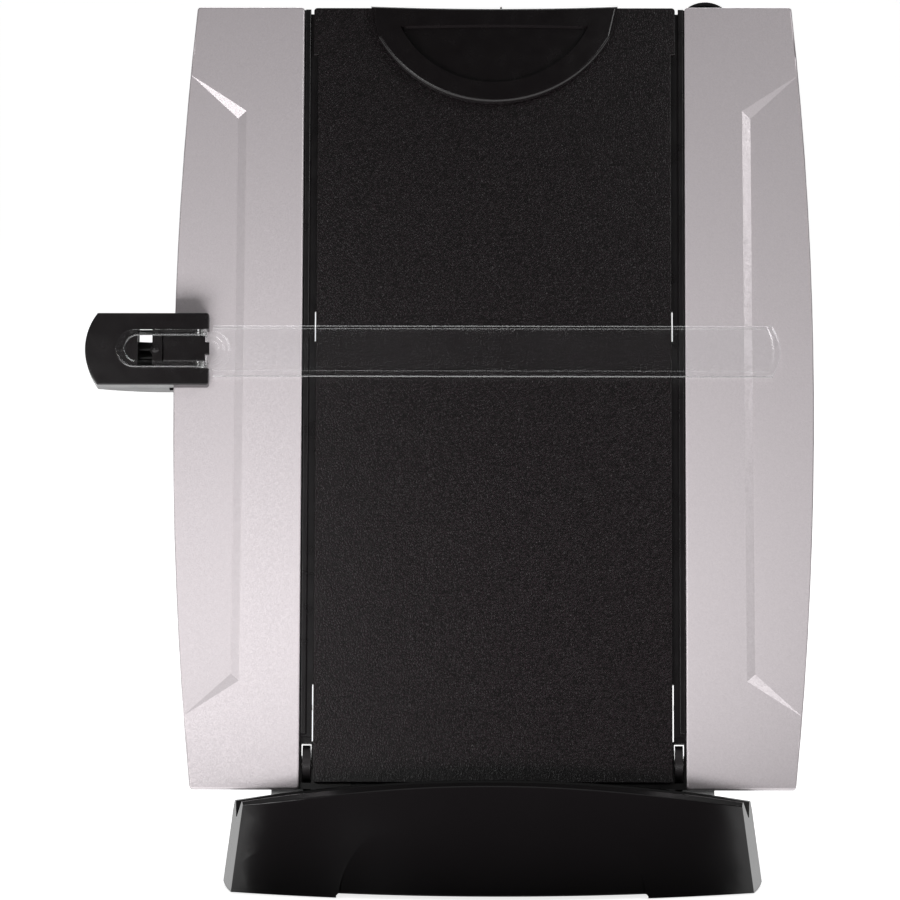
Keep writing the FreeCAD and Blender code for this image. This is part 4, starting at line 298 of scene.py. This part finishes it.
def screw_tree():
    """Geometry nodes that put a pan-head screw, seated at its head's underside, on every point."""
    tree = bpy.data.node_groups.new("pan-head screws", "GeometryNodeTree")
    face = tree.interface
    face.new_socket("Geometry", in_out="INPUT", socket_type="NodeSocketGeometry")
    for name in ("Head Radius", "Head Height", "Dome", "Shank Radius", "Shank Length", "Recess Span",
                 "Recess Width", "Recess Depth"):
        face.new_socket(name, in_out="INPUT", socket_type="NodeSocketFloat")
    face.new_socket("Turn", in_out="INPUT", socket_type="NodeSocketVector")
    face.new_socket("Finish", in_out="INPUT", socket_type="NodeSocketMaterial")
    face.new_socket("Geometry", in_out="OUTPUT", socket_type="NodeSocketGeometry")
    given = add(tree, "NodeGroupInput").outputs

    half_height = add(tree, "ShaderNodeMath", {0: given["Head Height"], 1: 0.5}, operation="MULTIPLY")
    blank = add(tree, "GeometryNodeMeshCylinder", {
        "Vertices": 36, "Fill Segments": 5, "Radius": given["Head Radius"], "Depth": given["Head Height"]},
        fill_type="TRIANGLE_FAN")
    spot = add(tree, "GeometryNodeInputPosition")
    axes = add(tree, "ShaderNodeSeparateXYZ", {"Vector": spot.outputs["Position"]})
    flat = add(tree, "ShaderNodeCombineXYZ", {"X": axes.outputs["X"], "Y": axes.outputs["Y"]})
    reach = add(tree, "ShaderNodeVectorMath", {0: flat.outputs["Vector"]}, operation="LENGTH")
    share = add(tree, "ShaderNodeMath", {
        0: reach.outputs["Value"], 1: given["Head Radius"]}, operation="DIVIDE")
    bend = add(tree, "ShaderNodeMath", {0: share.outputs["Value"], 1: 4.0}, operation="POWER")
    fall = add(tree, "ShaderNodeMath", {
        0: bend.outputs["Value"], 1: given["Dome"]}, operation="MULTIPLY")
    lower = add(tree, "ShaderNodeMath", {0: 0.0, 1: fall.outputs["Value"]}, operation="SUBTRACT")
    drop = add(tree, "ShaderNodeCombineXYZ", {"Z": lower.outputs["Value"]})
    upper = add(tree, "FunctionNodeCompare", {0: axes.outputs["Z"], 1: 0.0}, operation="GREATER_THAN")
    domed = add(tree, "GeometryNodeSetPosition", {
        "Geometry": blank.outputs["Mesh"], "Selection": upper.outputs["Result"],
        "Offset": drop.outputs["Vector"]})
    lift = add(tree, "ShaderNodeCombineXYZ", {"Z": half_height.outputs["Value"]})
    head = add(tree, "GeometryNodeTransform", {
        "Geometry": domed.outputs["Geometry"], "Translation": lift.outputs["Vector"]})

    twice = add(tree, "ShaderNodeMath", {0: given["Recess Depth"], 1: 2.0}, operation="MULTIPLY")
    top = add(tree, "ShaderNodeCombineXYZ", {"Z": given["Head Height"]})
    cutters = []
    for wide, deep in (("Recess Span", "Recess Width"), ("Recess Width", "Recess Span")):
        size = add(tree, "ShaderNodeCombineXYZ", {
            "X": given[wide], "Y": given[deep], "Z": twice.outputs["Value"]})
        blade = add(tree, "GeometryNodeMeshCube", {"Size": size.outputs["Vector"]})
        cutters.append(add(tree, "GeometryNodeTransform", {
            "Geometry": blade.outputs["Mesh"], "Translation": top.outputs["Vector"]}))
    recessed = add(tree, "GeometryNodeMeshBoolean", {
        "Mesh 1": head.outputs["Geometry"]}, operation="DIFFERENCE")
    for cutter in cutters:
        tree.links.new(cutter.outputs["Geometry"], recessed.inputs["Mesh 2"])

    shank = add(tree, "GeometryNodeMeshCylinder", {
        "Vertices": 20, "Radius": given["Shank Radius"], "Depth": given["Shank Length"]}, fill_type="NGON")
    sunk = add(tree, "ShaderNodeMath", {0: given["Shank Length"], 1: -0.48}, operation="MULTIPLY")
    below = add(tree, "ShaderNodeCombineXYZ", {"Z": sunk.outputs["Value"]})
    stem = add(tree, "GeometryNodeTransform", {
        "Geometry": shank.outputs["Mesh"], "Translation": below.outputs["Vector"]})
    screw = add(tree, "GeometryNodeJoinGeometry")
    for half in (recessed.outputs["Mesh"], stem.outputs["Geometry"]):
        tree.links.new(half, screw.inputs["Geometry"])

    stop = add(tree, "FunctionNodeRandomValue", {"Seed": 11}, data_type="FLOAT")
    stop.inputs[3].default_value = math.radians(90)
    twist = add(tree, "ShaderNodeCombineXYZ", {"Z": stop.outputs[1]})
    own_turn = add(tree, "FunctionNodeEulerToRotation", {"Euler": twist.outputs["Vector"]})
    aim = add(tree, "FunctionNodeEulerToRotation", {"Euler": given["Turn"]})
    turned = add(tree, "FunctionNodeRotateRotation", {
        "Rotation": aim.outputs["Rotation"], "Rotate By": own_turn.outputs["Rotation"]},
        rotation_space="LOCAL")
    driven = add(tree, "GeometryNodeInstanceOnPoints", {
        "Points": given["Geometry"], "Instance": screw.outputs["Geometry"],
        "Rotation": turned.outputs["Rotation"]})
    real = add(tree, "GeometryNodeRealizeInstances", {"Geometry": driven.outputs["Instances"]})
    plated = add(tree, "GeometryNodeSetMaterial", {
        "Geometry": real.outputs["Geometry"], "Material": given["Finish"]})
    add(tree, "NodeGroupOutput", {"Geometry": plated.outputs["Geometry"]})
    return tree


pan_head = screw_tree()


def screw_set(name, body, places, turn, **sizes_mm):
    """Screws of one size on one body, as a plain mesh that stands for the node of that name."""
    mesh = bpy.data.meshes.new(name + "_places")
    mesh.from_pydata([Vector(place) / 1000 for place in places], [], [])
    holder = bpy.data.objects.new(name + "_places", mesh)
    bpy.context.scene.collection.objects.link(holder)
    driver = holder.modifiers.new("screws", "NODES")
    driver.node_group = pan_head
    ids = {item.name: item.identifier for item in pan_head.interface.items_tree
           if item.in_out == "INPUT"}
    for key, size in sizes_mm.items():
        driver[ids[key.replace("_", " ")]] = size / 1000
    driver[ids["Turn"]] = [math.radians(angle) for angle in turn]
    driver[ids["Finish"]] = zinc_plate
    seen = holder.evaluated_get(bpy.context.evaluated_depsgraph_get())
    plain = bpy.data.meshes.new_from_object(seen)
    holder.modifiers.remove(driver)
    bpy.data.objects.remove(holder)
    plain.name = name + "_headed"
    piece = bpy.data.objects.new(name + "_headed", plain)
    bpy.context.scene.collection.objects.link(piece)
    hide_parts(name)
    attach(piece, body)


board_lean = math.radians(20.0)
board_foot = Vector((0, -30.3, 39.0))


def on_board(x, back, up):
    """A place on the leaning board, in mm: across, behind the page face, up the board."""
    return board_foot + Matrix.Rotation(-board_lean, 3, "X") @ Vector((x, back, up))


facing_back = (-110.0, 0, 0)     # the head points out of the board's back
facing_down = (180.0, 0, 0)
pan_sizes = dict(Head_Radius=2.9, Head_Height=1.6, Dome=0.55, Shank_Radius=1.1, Recess_Span=2.7,
                 Recess_Width=0.62, Recess_Depth=0.95)
slider_pan = {**pan_sizes, "Head_Radius": 2.4, "Head_Height": 1.4, "Recess_Span": 2.3}
flat_pan = {**pan_sizes, "Head_Height": 1.1, "Dome": 0.4, "Recess_Depth": 0.7}

wing_seat, slider_seat = 3.8, 3.3          # under the heads, behind the page face
slider_screw_x = -150.6
base_seat = 1.5                            # above the desk
screw_set("wing_screws", "board",
          [on_board(x, wing_seat, up) for x in (-94, 94) for up in (56, 156, 288)],
          facing_back, Shank_Length=4.6, **pan_sizes)
screw_set("slider_screws", "slider",
          [on_board(slider_screw_x, slider_seat, up) for up in (169.3, 191.3)],
          facing_back, Shank_Length=4.0, **slider_pan)
screw_set("base_screws", "base", [(x, y, base_seat) for x in (-70, 70) for y in (-30, 40)],
          facing_down, Shank_Length=8.2, **flat_pan)
dress("saddle_screws", zinc_plate)         # hidden inside the foot, so they keep their plain heads


# --- Line guide and memo clip ---
# Both are clear acrylic, polished as moulded: almost invisible face on. A painted highlight draws
# their ridges, rings and rims: steep faces turn partly milky white, in place of the light they gather.
# Slow flow marks from the moulding bend what is seen through them a little, and the light passes to what
# lies behind.

clear_acrylic, tree, shader = finish(
    "clear polished acrylic", paint("fcfdfd"), 0.0, IOR=1.49, Transmission_Weight=1.0)
place = add(tree, "ShaderNodeTexCoord")
flow = add(tree, "ShaderNodeTexNoise", {
    "Vector": place.outputs["Object"], "Scale": per_mm(14.0), "Detail": 1.0})
marks = add(tree, "ShaderNodeBump", {
    "Strength": 1.0, "Distance": 0.00008, "Height": flow.outputs["Fac"]})
tree.links.new(marks.outputs["Normal"], shader.inputs["Normal"])
# painted highlight: steep faces lose some transmission and show the white base colour, standing in for
# glints
slope = add(tree, "ShaderNodeLayerWeight", {"Blend": 0.5})
painted_edge_highlight = add(tree, "ShaderNodeMapRange", {
    "Value": slope.outputs["Facing"], "From Min": 0.4, "From Max": 0.95,
    "To Min": 1.0, "To Max": 0.78}, interpolation_type="SMOOTHSTEP")
tree.links.new(painted_edge_highlight.outputs["Result"], shader.inputs["Transmission Weight"])
for name in ("line_guide", "memo_clip"):
    dress(name, clear_acrylic)
    nodes[name].visible_shadow = False     # else the renderer greys what lies behind
    nodes[name].visible_diffuse = False


# --- Table, backdrop and light ---
# A white table and backdrop under soft studio light: a white card low in front, a small softbox on
# the reader's left, one high on the right, one behind, and a studio that is dark behind the camera.

half = 6.0                 # metres, the table's half width
table_mesh = bpy.data.meshes.new("table")
table_mesh.from_pydata([(-half, -half, 0), (half, -half, 0), (half, half, 0), (-half, half, 0)],
                       [], [(0, 1, 2, 3)])
table = bpy.data.objects.new("table", table_mesh)
bpy.context.scene.collection.objects.link(table)
white_table, tree, shader = finish("white table", paint("ececec"), 0.8)
path = add(tree, "ShaderNodeLightPath")
clear_view = add(tree, "ShaderNodeMath", {
    0: path.outputs["Is Camera Ray"], 1: path.outputs["Is Transmission Ray"]}, operation="MAXIMUM")
glossy_view = add(tree, "ShaderNodeMath", {
    0: clear_view.outputs["Value"], 1: path.outputs["Is Glossy Ray"]}, operation="MAXIMUM")
straight = add(tree, "ShaderNodeMath", {
    0: path.outputs["Diffuse Depth"], 1: 0.5}, operation="LESS_THAN")
straight_view = add(tree, "ShaderNodeMath", {
    0: glossy_view.outputs["Value"], 1: straight.outputs["Value"]}, operation="MULTIPLY")
glow_level = add(tree, "ShaderNodeMath", {
    0: straight_view.outputs["Value"], 1: 0.8}, operation="MULTIPLY")
glow = add(tree, "ShaderNodeEmission", {"Color": (1, 1, 1, 1), "Strength": glow_level.outputs["Value"]})
lit = add(tree, "ShaderNodeAddShader", {0: shader.outputs["BSDF"], 1: glow.outputs["Emission"]})
tree.links.new(lit.outputs["Shader"], tree.nodes["Material Output"].inputs["Surface"])
white_table.cycles.emission_sampling = "NONE"
table_mesh.materials.append(white_table)

world = bpy.data.worlds.new("studio surround")
bpy.context.scene.world = world
world.use_nodes = True
tree = world.node_tree
surround = tree.nodes["Background"]
toward = add(tree, "ShaderNodeTexCoord")
sky_axes = add(tree, "ShaderNodeSeparateXYZ", {"Vector": toward.outputs["Generated"]})
behind = add(tree, "ShaderNodeMapRange", {
    "Value": sky_axes.outputs["Y"], "From Min": 0.3, "From Max": 0.8, "To Min": 0.04, "To Max": 0.6},
    interpolation_type="SMOOTHSTEP")
above = add(tree, "ShaderNodeMapRange", {
    "Value": sky_axes.outputs["Z"], "From Min": 0.72, "From Max": 0.98, "To Min": 0.0, "To Max": 0.3},
    interpolation_type="SMOOTHSTEP")
studio = add(tree, "ShaderNodeMath", {
    0: behind.outputs["Result"], 1: above.outputs["Result"]}, operation="ADD")
surround.inputs["Color"].default_value = (1, 1, 1, 1)
tree.links.new(studio.outputs["Value"], surround.inputs["Strength"])
backdrop = add(tree, "ShaderNodeBackground", {"Color": (1, 1, 1, 1), "Strength": 1.0})
path = add(tree, "ShaderNodeLightPath")
seen_rear = add(tree, "ShaderNodeMapRange", {
    "Value": sky_axes.outputs["Y"], "From Min": 0.55, "From Max": 0.8,
    "To Min": 0.0, "To Max": 1.0})
mirrored = add(tree, "ShaderNodeMath", {
    0: path.outputs["Is Glossy Ray"], 1: path.outputs["Is Transmission Ray"]}, operation="MAXIMUM")
mirrored_rear = add(tree, "ShaderNodeMath", {
    0: mirrored.outputs["Value"], 1: seen_rear.outputs["Result"]}, operation="MULTIPLY")
straight = add(tree, "ShaderNodeMath", {
    0: path.outputs["Diffuse Depth"], 1: 0.5}, operation="LESS_THAN")
straight_rear = add(tree, "ShaderNodeMath", {
    0: mirrored_rear.outputs["Value"], 1: straight.outputs["Value"]}, operation="MULTIPLY")
seen = add(tree, "ShaderNodeMath", {
    0: path.outputs["Is Camera Ray"], 1: straight_rear.outputs["Value"]}, operation="MAXIMUM")
mixed = add(tree, "ShaderNodeMixShader", {
    0: seen.outputs["Value"], 1: surround.outputs["Background"], 2: backdrop.outputs["Background"]})
tree.links.new(mixed.outputs["Shader"], tree.nodes["World Output"].inputs["Surface"])


def softbox(name, place, aim, width, height, power):
    """Rectangular area lamp that faces a point."""
    lamp = bpy.data.lights.new(name, "AREA")
    lamp.shape = "RECTANGLE"
    lamp.size = width
    lamp.size_y = height
    lamp.energy = power
    holder = bpy.data.objects.new(name, lamp)
    holder.location = place
    holder.rotation_euler = (Vector(aim) - Vector(place)).to_track_quat("-Z", "Y").to_euler()
    holder.visible_camera = False
    bpy.context.scene.collection.objects.link(holder)
    return holder


low_card = softbox("low card", (-0.06, -0.27, 0.004), (-0.06, -0.269, 1.0), 0.38, 0.24, 6.2)
low_card.visible_glossy = False            # it only fills from below: seen, it whitens the clear parts
low_card.visible_transmission = False
softbox("left softbox", (-0.336, -0.588, 0.405), (-0.10, 0.06, 0.28), 0.22, 0.22, 0.75)
softbox("right softbox", (0.49, -0.44, 0.73), (0.10, 0.03, 0.25), 0.3, 0.3, 1.2)
softbox("rear softbox", (0.0, 0.8, 1.2), (0, 0, 0.2), 0.9, 0.5, 7)

frame_px = 900
lens_px = 7105.0           # focal length for a frame of that width
camera_data = bpy.data.cameras.new("camera")
camera_data.sensor_width = 36.0
camera_data.lens = lens_px * camera_data.sensor_width / frame_px
camera_data.clip_end = 50.0
camera = bpy.data.objects.new("camera", camera_data)
camera.location = (0.0123, -2.846, 0.596)
camera.rotation_euler = (math.radians(90 - 8.455), 0, math.radians(0.6))
bpy.context.scene.collection.objects.link(camera)
bpy.context.scene.camera = camera
bpy.context.scene.view_settings.view_transform = "Standard"
